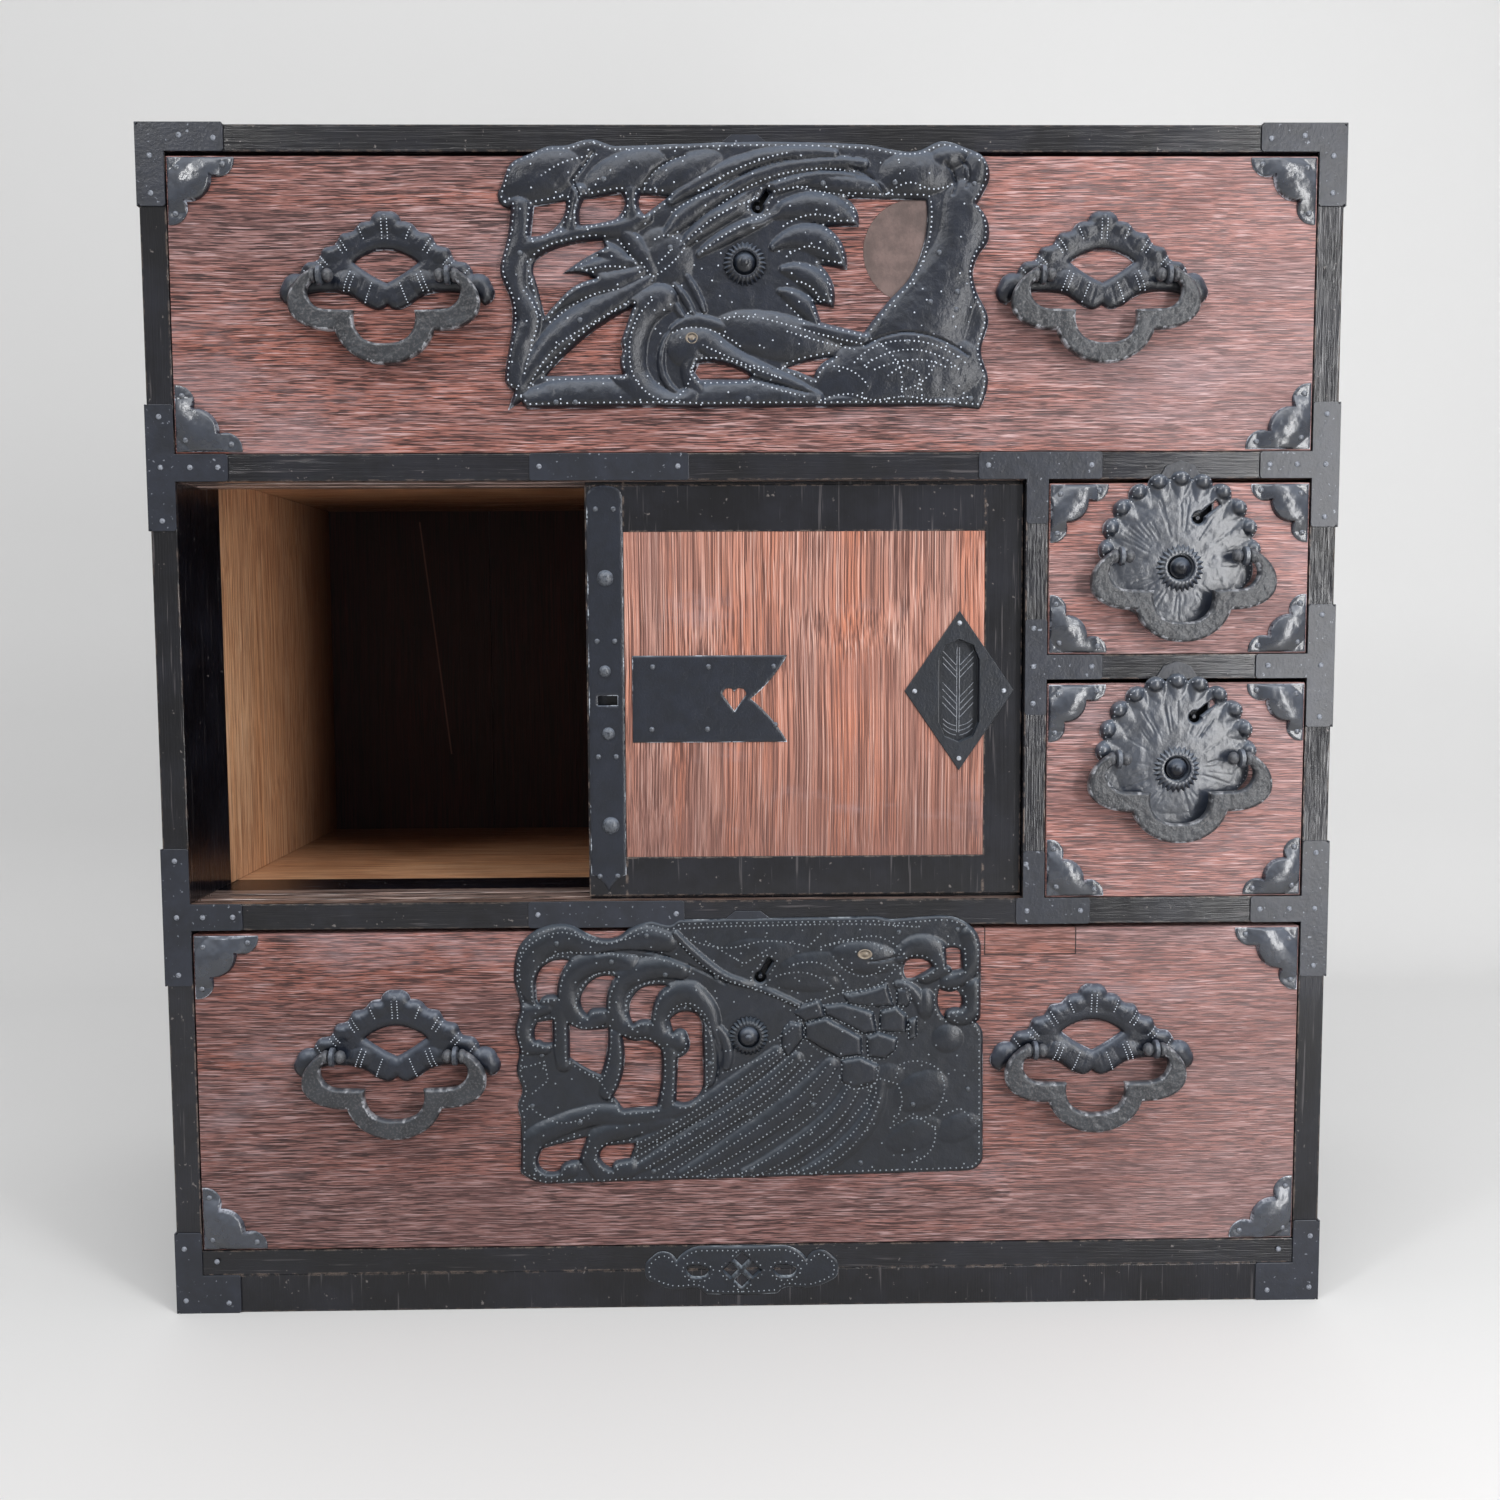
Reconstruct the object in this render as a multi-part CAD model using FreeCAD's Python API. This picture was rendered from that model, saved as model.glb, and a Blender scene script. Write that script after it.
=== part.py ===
import FreeCAD, Part
import math
import os

# Small tansu chest: a case with two wide drawers, two small drawers and a cupboard
# with two sliding doors, dressed with pierced and nailed iron fittings.
# Millimetres. +Z up, fronts face -Y, origin on the floor in the middle of the
# footprint, the standing handles included.

V = FreeCAD.Vector
os.makedirs("parts", exist_ok=True)

# ---- driving dimensions: case -------------------------------------------------
CASE_W = 860.0            # overall width of the case
CASE_D = 430.0            # front edge of the case to its back
SIDE_T = 19.0             # side boards
TOP_T = 19.0              # top board
BOTTOM_T = 19.0           # bottom board
PLINTH_H = 29.0           # strips under the bottom board
PLINTH_T = 20.0
BASE_DRAWER_H = 243.0     # openings, from the floor up
LOWER_SMALL_H = 162.0
UPPER_SMALL_H = 127.5
TOP_DRAWER_H = 211.5
RAIL_T = 19.5             # height of the two long front rails
RAIL_DEPTH = 60.0         # front to back
SHELF_T = 18.0            # rail between the two small drawers
DUST_T = 8.0              # thin boards behind the rails
BACK_T = 9.0              # back boards
BACK_COUNT = 5
BACK_GAP = 0.6            # shrinkage gap between back boards
BACK_LAP = 8.0            # rebate of the back boards into sides and top
HOUSING = 6.0             # depth of the housings in the sides
TONGUE = 4.0              # tongues of the partition
FINGERS = 9               # fingers of the box joint between top and sides
PARTITION_X = 203.0       # left face of the partition
PARTITION_T = 16.0

# ---- driving dimensions: drawers and doors ------------------------------------
DRAWER_GAP_SIDE = 0.75
DRAWER_GAP_BELOW = 0.5
DRAWER_GAP_ABOVE = 3.0
DRAWER_GAP_BACK = 13.0
FRONT_T = 20.0            # drawer fronts
DRAWER_SIDE_T = 10.0
DRAWER_BOTTOM_T = 7.0
DRAWER_LAP = 10.0         # rebate in the front for sides and bottom
SIDE_DROP = 6.0           # drawer sides lower than the front
BACK_DROP = 12.0          # drawer back lower than the front

DOOR_T = 19.0
DOOR_SETBACK = 8.0        # front door behind the front edge of the case
DOOR_SPACING = 3.0        # clear space between the two doors
DOOR_GAP = 2.5            # doors short of the rails, above and below
DOOR_END_GAP = 0.5
DOOR_STILE_W = 28.0       # the doors overlap by one stile when closed
DOOR_TOP_RAIL_W = 34.0
DOOR_LOW_RAIL_W = 29.0
DOOR_TONGUE_T = 9.0       # tongue in the track
TRACK_DEPTH = 6.0
TRACK_PLAY = 0.8          # door tongue to the sides of its groove
TRACK_TOP_PLAY = 1.5
TRACK_FLOOR_PLAY = 0.3
TENON = 15.0
TENON_T = 7.0
TENON_SHOULDER = 6.0
PANEL_FACE_T = 4.0        # flush face of the panel in front of its tongue
PANEL_TONGUE_T = 4.0
PANEL_TONGUE = 6.0

# ---- driving dimensions: ironwork ---------------------------------------------
IRON_T = 1.2              # straps and small irons
PLATE_T = 2.2             # pierced lock plates
HANDLE_PLATE_T = 2.0
STRAP_WRAP = 22.0         # straps folded round the corner of the case
STRAP_CLIP = 1.5          # clipped corners of a strap
STRIKE_RELIEF = 1.6       # back of a lock plate cleared over the rail above
RELIEF_START = 2.0        # the clearing starts this far below the drawer's top
FLAT_TURN = 45.0          # degrees turned by each flat of a chiselled or filed curve
FILED_SIDES = 8           # flats round a small filed knob

HINGE_REACH = 12.0        # handle axis in front of the drawer
POST_X = 45.0             # posts to left and right of the handle's middle
POST_T = 4.0
POST_R = 7.0
POST_SHANK = 6.0
POST_CLENCH = 12.0
CLENCH_T = 2.0
EYE_SIDES = 10            # flats of a post's eye, its punched hole and a keyhole
PIN_R = 3.0
PIN_CLEARANCE = 0.05
BAIL_T = 9.0
BAIL_CHAMFER = 1.5
TIP_REACH = 3.2           # middle of the tip bead from the inner side of the post
COLLAR_R = 5.2
COLLAR_W = 4.5
COLLAR_GAP = 0.4          # collar to post

LOCK_W = 50.0
LOCK_DEPTH = 12.0
LOCK_WALL = 1.5
LOCK_BELOW = 16.0         # lock case below the button
LOCK_TOP_COVER = 6.0      # wood above the lock case
BOLT_W = 22.0
BOLT_T = 5.0
BOLT_H = 30.0
BOLT_THROW = 8.0
BOLT_SETBACK = 5.0        # bolt behind the drawer's front face
BOLT_PLAY = 0.5
BOLT_BEVEL = 2.0
KEY_NOTCH_W = 8.0
KEY_NOTCH_H = 5.0
SPRING_T = 1.2
SPRING_END_GAP = 3.0
KEY_PIN_R = 1.6
KEY_HOLE_R = 4.2
KEY_SLOT_W = 4.0
BUTTON_CLEARANCE = 0.05
BUTTON_WELL = 10.0        # reach of the hole for a button, through plate and collar
BUTTON_FLANGE = 1.6       # collar of the button behind the plate
BUTTON_FLANGE_T = 2.7
BUTTON_FLANGE_GAP = 0.3
BUTTON_SHAFT = 5.0        # parts of the button in front of the plate
BUTTON_DOME = 3.4
BUTTON_NIPPLE = 2.3
BUTTON_TIP_R = 1.5
SHAFT_SIDES = 16
CUT_OVER = 1.0            # cutting bodies reach this far past what they cut

# ---- derived places -----------------------------------------------------------
REACH = HINGE_REACH + BAIL_T / 2
FRONT = (REACH - CASE_D) / 2
BACK = FRONT + CASE_D
INNER = CASE_W / 2 - SIDE_T
BACK_FACE = BACK - BACK_T
BASE_Z = PLINTH_H + BOTTOM_T
LOW_RAIL_Z = BASE_Z + BASE_DRAWER_H
CUPBOARD_Z = LOW_RAIL_Z + RAIL_T
SHELF_Z = CUPBOARD_Z + LOWER_SMALL_H
HIGH_RAIL_Z = SHELF_Z + SHELF_T + UPPER_SMALL_H
TOP_DRAWER_Z = HIGH_RAIL_Z + RAIL_T
TOP_Z = TOP_DRAWER_Z + TOP_DRAWER_H
CASE_H = TOP_Z + TOP_T
SMALL_X = PARTITION_X + PARTITION_T
SMALL_MID = (SMALL_X + INNER) / 2
DOOR_W = (PARTITION_X + INNER + DOOR_STILE_W) / 2
DOOR_MID = (CUPBOARD_Z + HIGH_RAIL_Z) / 2
PLATE_FACE = FRONT - PLATE_T

NODES = {}


def keep(name, *shapes):
    """Add solids to a named sub-part."""
    NODES.setdefault(name, []).extend(shapes)


# ---- forms --------------------------------------------------------------------
def box(x0, y0, z0, x1, y1, z1):
    """Block between two opposite corners, given in any order along X."""
    return Part.makeBox(abs(x1 - x0), y1 - y0, z1 - z0, V(min(x0, x1), y0, z0))


def rod(radius, start, direction, length):
    return Part.makeCylinder(radius, length, start, direction)


def fuse(shapes):
    return shapes[0].multiFuse(shapes[1:]).removeSplitter()


def flats(start, end, bulge):
    """Points after start on the arc to end, one for each flat of the curve.

    The bulge is the arc's rise over its chord, positive to the left of travel."""
    sweep = 4 * math.atan(2 * bulge)
    count = max(2, math.ceil(abs(math.degrees(sweep)) / FLAT_TURN))
    lift = bulge - 0.5 / math.sin(sweep / 2)
    centre_u = (start[0] + end[0]) / 2 - (end[1] - start[1]) * lift
    centre_v = (start[1] + end[1]) / 2 + (end[0] - start[0]) * lift
    radius = math.hypot(start[0] - centre_u, start[1] - centre_v)
    first = math.atan2(start[1] - centre_v, start[0] - centre_u)
    turns = [first - sweep * k / count for k in range(1, count)]
    return [(centre_u + radius * math.cos(a), centre_v + radius * math.sin(a)) for a in turns]


def outline(points, x, y, z):
    """Closed wire in a plane facing -Y, from points (u, v) or (u, v, bulge)."""
    corners = []
    for here, after in zip(points, points[1:] + points[:1]):
        corners.append(here)
        if len(here) > 2 and here[2]:
            corners.extend(flats(here, after, here[2]))
    wire = [V(x + corner[0], y, z + corner[1]) for corner in corners]
    return Part.makePolygon(wire + wire[:1])


def sheet(points, x, z, y_back, thickness, holes=()):
    """Flat plate whose back lies at y_back and which stands out towards -Y."""
    solid = Part.Face(outline(points, x, y_back, z)).extrude(V(0, -thickness, 0))
    for hole in holes:
        cutter = Part.Face(outline(hole, x, y_back + CUT_OVER, z))
        solid = solid.cut(cutter.extrude(V(0, -thickness - 2 * CUT_OVER, 0)))
    return solid


def leg(path, mirror=False, reverse=False):
    """A run of outline points, mirrored left to right, walked backwards, or both."""
    bulges = [point[2] if len(point) > 2 else 0.0 for point in path]
    spots = [(-point[0] if mirror else point[0], point[1]) for point in path]
    if reverse:
        spots = spots[::-1]
        bulges = bulges[:-1][::-1] + [0.0]
    sign = -1 if mirror != reverse else 1
    return [(u, v, sign * bulge) for (u, v), bulge in zip(spots, bulges)]


def mirrored(half):
    """Whole outline from its right half, listed clockwise from top to bottom."""
    right = leg(half)
    left = leg(half, mirror=True, reverse=True)
    if half[-1][0] == 0:
        right.pop()
    if half[0][0] == 0:
        left.pop()
    return right + left


def filed(sections, start, axis, sides=FILED_SIDES, notch=1.0):
    """Round form filed in flats, from (radius, distance) along its axis.

    With a notch below 1 every second corner is drawn in, which makes teeth."""
    rings = []
    for radius, distance in sections:
        ring = []
        for k in range(sides):
            angle = 2 * math.pi * (k + 0.5) / sides
            reach = radius * (notch if k % 2 else 1.0)
            ring.append(V(reach * math.cos(angle), reach * math.sin(angle), distance))
        rings.append(ring)
    faces = [Part.Face(Part.makePolygon(ring + ring[:1])) for ring in (rings[0], rings[-1])]
    for low, high in zip(rings, rings[1:]):
        for k in range(sides):
            corners = [low[k - 1], low[k], high[k], high[k - 1], low[k - 1]]
            faces.append(Part.Face(Part.makePolygon(corners)))
    form = Part.Solid(Part.Shell(faces))
    form.Placement = FreeCAD.Placement(start, FreeCAD.Rotation(V(0, 0, 1), axis))
    return form


# ---- drawers, described once --------------------------------------------------
# Opening x0 x1 z0 z1; lock middle x; then, measured down from the opening's ceiling,
# the button, the hinge axis of the handles; the keyhole's place from the button,
# the length of its slot and how far it leans; radii of the button and its collar;
# the middles of the handles.
DRAWERS = {
    "top_drawer": dict(
        x0=-INNER, x1=INNER, z0=TOP_DRAWER_Z, z1=TOP_Z, lock_x=-1.0, button_drop=79.0,
        handle_drop=88.5, key=(9.5, 40.0), slot=13.0, slot_lean=34.0, button_r=9.0,
        collar_r=15.5, handles=(-256.0, 256.0), iron=47.0, strike=24.0),
    "base_drawer": dict(
        x0=-INNER, x1=INNER, z0=BASE_Z, z1=LOW_RAIL_Z, lock_x=-1.0, button_drop=82.0,
        handle_drop=92.5, key=(9.0, 44.0), slot=15.0, slot_lean=31.0, button_r=9.0,
        collar_r=15.0, handles=(-262.0, 256.0), iron=47.0, strike=24.0),
    "upper_small_drawer": dict(
        x0=SMALL_X, x1=INNER, z0=SHELF_Z + SHELF_T, z1=HIGH_RAIL_Z, lock_x=SMALL_MID,
        button_drop=64.5, handle_drop=56.5, key=(13.5, 36.0), slot=18.0, slot_lean=52.0,
        button_r=7.6, collar_r=18.0, handles=(SMALL_MID,), iron=42.0, strike=16.0),
    "lower_small_drawer": dict(
        x0=SMALL_X, x1=INNER, z0=CUPBOARD_Z, z1=SHELF_Z, lock_x=SMALL_MID,
        button_drop=66.0, handle_drop=58.0, key=(13.5, 38.0), slot=18.0, slot_lean=52.0,
        button_r=7.6, collar_r=18.0, handles=(SMALL_MID,), iron=42.0, strike=16.0),
}


def front_box(spec):
    """Outer box of a drawer front."""
    return (spec["x0"] + DRAWER_GAP_SIDE, FRONT, spec["z0"] + DRAWER_GAP_BELOW,
            spec["x1"] - DRAWER_GAP_SIDE, FRONT + FRONT_T, spec["z1"] - DRAWER_GAP_ABOVE)


def button_z(spec):
    return spec["z1"] - spec["button_drop"]


def hinge_z(spec):
    return spec["z1"] - spec["handle_drop"]


def key_place(spec):
    return spec["lock_x"] + spec["key"][0], button_z(spec) + spec["key"][1]


def has_side_handles(spec):
    return len(spec["handles"]) > 1


# ---- the case -----------------------------------------------------------------
def bolt_space(spec):
    """Room of a raised lock bolt in the rail over its drawer."""
    top = front_box(spec)[5]
    y = FRONT + BOLT_SETBACK
    half = BOLT_W / 2 + BOLT_PLAY
    return box(spec["lock_x"] - half, y - BOLT_PLAY, top, spec["lock_x"] + half,
               y + BOLT_T + BOLT_PLAY, top + BOLT_THROW + BOLT_PLAY)


def door_front(track):
    """Front face of the door on the front (0) or rear (1) track."""
    return FRONT + DOOR_SETBACK + track * (DOOR_T + DOOR_SPACING)


def track_grooves(z0, z1):
    """Grooves of the front and rear door in a rail, between two heights."""
    grooves = []
    for track in (0, 1):
        y = door_front(track) + (DOOR_T - DOOR_TONGUE_T) / 2
        grooves.append(box(-INNER, y - TRACK_PLAY, z0, PARTITION_X,
                           y + DOOR_TONGUE_T + TRACK_PLAY, z1))
    return grooves


def side_fingers():
    """Fingers of the side boards, standing up through the ends of the top board."""
    step = CASE_D / FINGERS
    fingers = []
    for k in range(0, FINGERS, 2):
        y = FRONT + k * step
        for side in (-1, 1):
            fingers.append(box(side * INNER, y, TOP_Z, side * CASE_W / 2, y + step, CASE_H))
    return fingers


def back_boards():
    width = (2 * (INNER + BACK_LAP) + BACK_GAP) / BACK_COUNT
    boards = []
    for k in range(BACK_COUNT):
        x = -INNER - BACK_LAP + k * width
        boards.append(box(x, BACK_FACE, PLINTH_H, x + width - BACK_GAP, BACK,
                          TOP_Z + BACK_LAP))
    return boards


def rail_and_dust(x0, z0, thickness):
    """Front rail at z0 and the thin board behind it, level on top."""
    housed = INNER + HOUSING
    rail_back = FRONT + RAIL_DEPTH
    top = z0 + thickness
    return (box(x0, FRONT, z0, housed, rail_back, top),
            box(x0, rail_back, top - DUST_T, housed, BACK_FACE, top))


def make_partition():
    """Upright between cupboard and small drawers, tongued into both rails."""
    rail_back = FRONT + RAIL_DEPTH
    return fuse([
        box(PARTITION_X, FRONT, CUPBOARD_Z - TONGUE, SMALL_X, BACK_FACE,
            HIGH_RAIL_Z + TONGUE),
        box(PARTITION_X, rail_back, HIGH_RAIL_Z, SMALL_X, BACK_FACE,
            TOP_DRAWER_Z - DUST_T + TONGUE)])


def make_case():
    housed = INNER + HOUSING
    bottom = box(-housed, FRONT, PLINTH_H, housed, BACK_FACE, BASE_Z)
    low_rail, low_dust = rail_and_dust(-housed, LOW_RAIL_Z, RAIL_T)
    high_rail, high_dust = rail_and_dust(-housed, HIGH_RAIL_Z, RAIL_T)
    shelf_rail, shelf_board = rail_and_dust(SMALL_X - TONGUE, SHELF_Z, SHELF_T)
    partition = make_partition()

    low_rail = low_rail.cut([partition, bolt_space(DRAWERS["base_drawer"])]
                            + track_grooves(CUPBOARD_Z - TRACK_DEPTH, CUPBOARD_Z))
    high_rail = high_rail.cut([partition, bolt_space(DRAWERS["upper_small_drawer"])]
                              + track_grooves(HIGH_RAIL_Z, HIGH_RAIL_Z + TRACK_DEPTH))
    low_dust = low_dust.cut(partition)
    high_dust = high_dust.cut(partition)
    partition = partition.cut([shelf_rail, shelf_board])
    shelf_rail = shelf_rail.cut(bolt_space(DRAWERS["lower_small_drawer"]))

    rebate = box(-INNER - BACK_LAP, BACK_FACE, 0, INNER + BACK_LAP, BACK, TOP_Z + BACK_LAP)
    top = box(-CASE_W / 2, FRONT, TOP_Z, CASE_W / 2, BACK, CASE_H)
    top = top.cut([rebate, bolt_space(DRAWERS["top_drawer"])] + side_fingers())
    housings = [bottom, low_rail, low_dust, high_rail, high_dust, shelf_rail, shelf_board,
                rebate, top]
    for side, name in ((-1, "side_left"), (1, "side_right")):
        board = box(side * INNER, FRONT, 0, side * CASE_W / 2, BACK, CASE_H)
        keep(name, board.cut(housings))
    keep("top_board", top)
    keep("bottom_board", bottom)
    keep("back_boards", *back_boards())
    keep("upper_rail", high_rail)
    keep("upper_dust_board", high_dust)
    keep("lower_rail", low_rail)
    keep("lower_dust_board", low_dust)
    keep("partition", partition)
    keep("small_drawer_shelf", shelf_rail, shelf_board)
    for y in (FRONT, BACK_FACE - PLINTH_T):
        keep("plinth", box(-INNER, y, 0, INNER, y + PLINTH_T, PLINTH_H))


# ---- straps, strikes and plaque on the case -----------------------------------
TOP_CORNER = (61.0, 57.0)     # arm along the top, leg down the side board
FOOT_CORNER = (47.0, 62.0)
STILE_ARM = 57.0              # arm of a T along a rail
STILE_HALF = 45.0             # half height of its upright
LOW_STILE_HALF = 51.0
MID_STRAP_X = (-157.0, -163.0)    # middle straps of the upper and lower rail
MID_STRAP_W = 115.0
SHELF_STRAP_HALF = 35.0       # on the partition, where the shelf meets it
SHELF_STRAP_ARM = 57.0
HIGH_STRAP_X = (-35.0, 55.0)  # T under the upper rail, from the partition's face
HIGH_STRAP_DROP = 32.0
LOW_STRAP_X = (-5.0, 50.0)    # T on the lower rail
LOW_STRAP_RISE = 35.0
STRIKE_H = 13.0


def front_strap(x0, z0, x1, z1):
    """Flat strap with clipped corners on the front of the case."""
    left, right = min(x0, x1), max(x0, x1)
    c = STRAP_CLIP
    points = [(left, z0 + c), (left, z1 - c), (left + c, z1), (right - c, z1),
              (right, z1 - c), (right, z0 + c), (right - c, z0), (left + c, z0)]
    return sheet(points, 0, 0, FRONT, IRON_T)


def side_wrap(side, z0, z1):
    """Leaf of a strap folded back along the side of the case."""
    x = side * CASE_W / 2
    return box(x, FRONT - IRON_T, z0, x + side * IRON_T, FRONT + STRAP_WRAP, z1)


def stile_strap(side, rail_z0, rail_z1, half_height):
    """T-shaped strap over a side board and the end of a rail."""
    outer = side * CASE_W / 2
    middle = (rail_z0 + rail_z1) / 2
    z0, z1 = middle - half_height, middle + half_height
    return fuse([front_strap(side * INNER, z0, outer, z1),
                 front_strap(outer - side * STILE_ARM, rail_z0, outer, rail_z1),
                 side_wrap(side, z0, z1)])


def corner_strap(side, z0, z1, arm_z0, arm_z1, arm):
    """L-shaped strap on a corner of the case."""
    outer = side * CASE_W / 2
    return fuse([front_strap(side * INNER, z0, outer, z1),
                 front_strap(outer - side * arm, arm_z0, outer, arm_z1),
                 side_wrap(side, z0, z1)])


def over_top(side):
    """Leaf of a corner strap folded back over the top board."""
    outer = side * (CASE_W / 2 + IRON_T)
    return box(outer - side * TOP_CORNER[0], FRONT - IRON_T, CASE_H, outer,
               FRONT + STRAP_WRAP, CASE_H + IRON_T)


def make_straps():
    straps = []
    for side in (-1, 1):
        upper = corner_strap(side, CASE_H - TOP_CORNER[1], CASE_H, TOP_Z, CASE_H,
                             TOP_CORNER[0])
        straps.append(fuse([upper, over_top(side)]))
        straps.append(corner_strap(side, 0, FOOT_CORNER[1], 0, PLINTH_H, FOOT_CORNER[0]))
        straps.append(stile_strap(side, HIGH_RAIL_Z, TOP_DRAWER_Z, STILE_HALF))
        straps.append(stile_strap(side, LOW_RAIL_Z, CUPBOARD_Z, LOW_STILE_HALF))
    straps.append(stile_strap(1, SHELF_Z, SHELF_Z + SHELF_T, STILE_HALF))
    shelf_mid = SHELF_Z + SHELF_T / 2
    straps.append(fuse([
        front_strap(PARTITION_X, shelf_mid - SHELF_STRAP_HALF, SMALL_X,
                    shelf_mid + SHELF_STRAP_HALF),
        front_strap(PARTITION_X, SHELF_Z, PARTITION_X + SHELF_STRAP_ARM, SHELF_Z + SHELF_T)]))
    straps.append(fuse([
        front_strap(PARTITION_X + HIGH_STRAP_X[0], HIGH_RAIL_Z,
                    PARTITION_X + HIGH_STRAP_X[1], TOP_DRAWER_Z),
        front_strap(PARTITION_X, HIGH_RAIL_Z - HIGH_STRAP_DROP, SMALL_X, TOP_DRAWER_Z)]))
    straps.append(fuse([
        front_strap(PARTITION_X + LOW_STRAP_X[0], LOW_RAIL_Z,
                    PARTITION_X + LOW_STRAP_X[1], CUPBOARD_Z),
        front_strap(PARTITION_X, LOW_RAIL_Z, SMALL_X, CUPBOARD_Z + LOW_STRAP_RISE)]))
    for x, z in zip(MID_STRAP_X, (HIGH_RAIL_Z, LOW_RAIL_Z)):
        straps.append(front_strap(x, z, x + MID_STRAP_W, z + RAIL_T))
    keep("frame_irons", *straps)


def make_strikes():
    """Half-oval irons on the rail over each lock."""
    for spec in DRAWERS.values():
        half = spec["strike"]
        points = [(-half, 0, STRIKE_H / (2 * half)), (half, 0)]
        keep("frame_irons", sheet(points, spec["lock_x"], spec["z1"], FRONT, IRON_T))


PLAQUE_X = -7.0
PLAQUE_HALF = [(0, 18.5), (30, 18.5), (49, 7.5, 0.30), (68, 10, 0.15), (73, 0, 0.20),
               (66, -10, 0.10), (36, -14, -0.10), (26, -19), (0, -20)]
LOZENGE = 5.4
LOZENGE_PITCH = 8.2
LEAF_X = 33.0
LEAF = [(-8.5, 0, 0.25), (-3, 3), (3, 3), (8.5, 0, 0.2), (0, -5, 0.2)]


def make_plaque():
    """Cloud-shaped plaque, pierced with four lozenges and two leaf shapes."""
    holes = []
    for du, dv in ((0, 1), (1, 0), (0, -1), (-1, 0)):
        u, v = du * LOZENGE_PITCH, dv * LOZENGE_PITCH
        holes.append([(u - LOZENGE, v), (u, v + LOZENGE), (u + LOZENGE, v), (u, v - LOZENGE)])
    for side in (-1, 1):
        holes.append([(point[0] + side * LEAF_X,) + point[1:] for point in LEAF])
    keep("base_plaque", sheet(mirrored(PLAQUE_HALF), PLAQUE_X, PLINTH_H, FRONT,
                              IRON_T, holes))


# ---- pierced lock plates ------------------------------------------------------
# Outlines run clockwise in millimetres from the plate's middle.
CRANE_DROP = 88.0         # middle of the plate below the opening's ceiling
CRANE_EDGE = [
    (-167, 48.5, 0.35), (-174, 63, 0.18), (-151, 87, 0.08), (-128, 92, 0.12),
    (-91, 91.5), (-47, 93), (29, 94.5), (86, 92.5), (123, 88.5, 0.16), (157, 90.5, 0.30),
    (170, 59), (165, 51, 0.24), (166, 14, -0.12), (165, -8, 0.16), (169, -52, 0.14),
    (168, -93), (128, -91), (68, -91), (-22, -92), (-67, -91.5), (-158, -92.5), (-162, -87),
    (-171.5, -93), (-167, -80, 0.20), (-173, -66), (-168, -18, 0.14), (-170, 28)]
CRANE_HOLES = [
    [(-153, 29), (-150.5, 49.5), (-128, 53.5, 0.13), (-137, 34)],
    [(-117.6, 36.7), (-118.5, 44), (-115, 54.5), (-88.7, 58.3), (-86.3, 53),
     (-91, 42.7), (-104.4, 38.4)],
    [(-75.5, 48.7), (-74.3, 58.3), (-55, 56.5), (-72, 44)],
    [(-144, -27), (-150, -3, 0.10), (-151.2, 10), (-141.6, 17.5), (-122.4, 23.5),
     (-102, 25.9), (-100.8, 21), (-115, 13.8), (-130.8, 3), (-115, 1.8), (-108, -0.6),
     (-122, -5.4), (-135.6, -17.4)],
    [(-144, -69), (-108, -36.6), (-81.5, -21), (-90, -43.8, 0.10), (-91, -58.3),
     (-88.7, -67.9)],
    [(72.3, 55.2), (128.8, 54), (116.8, -0.6), (101.2, -17.4), (84.4, -38.6),
     (53.8, -31.3), (49.5, -18.6), (62.7, -21, -0.15), (53.1, 9), (72.3, 5.4, -0.15),
     (57.9, 35.5), (80.7, 35.5, -0.15)],
    [(-37, -66.7), (-34, -60.5), (-19, -60.7), (2.6, -69.5), (0, -71.5), (-33.4, -71.5)],
    [(29, -63.5), (43.5, -59.5), (61.5, -56.3, -0.10), (49.5, -66.7), (48.3, -70.8),
     (36.3, -65.8)]]
MOON = (120.5, 18.5)
MOON_R = 36.5
MOON_T = 1.0
MOON_SIDES = 36

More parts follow.
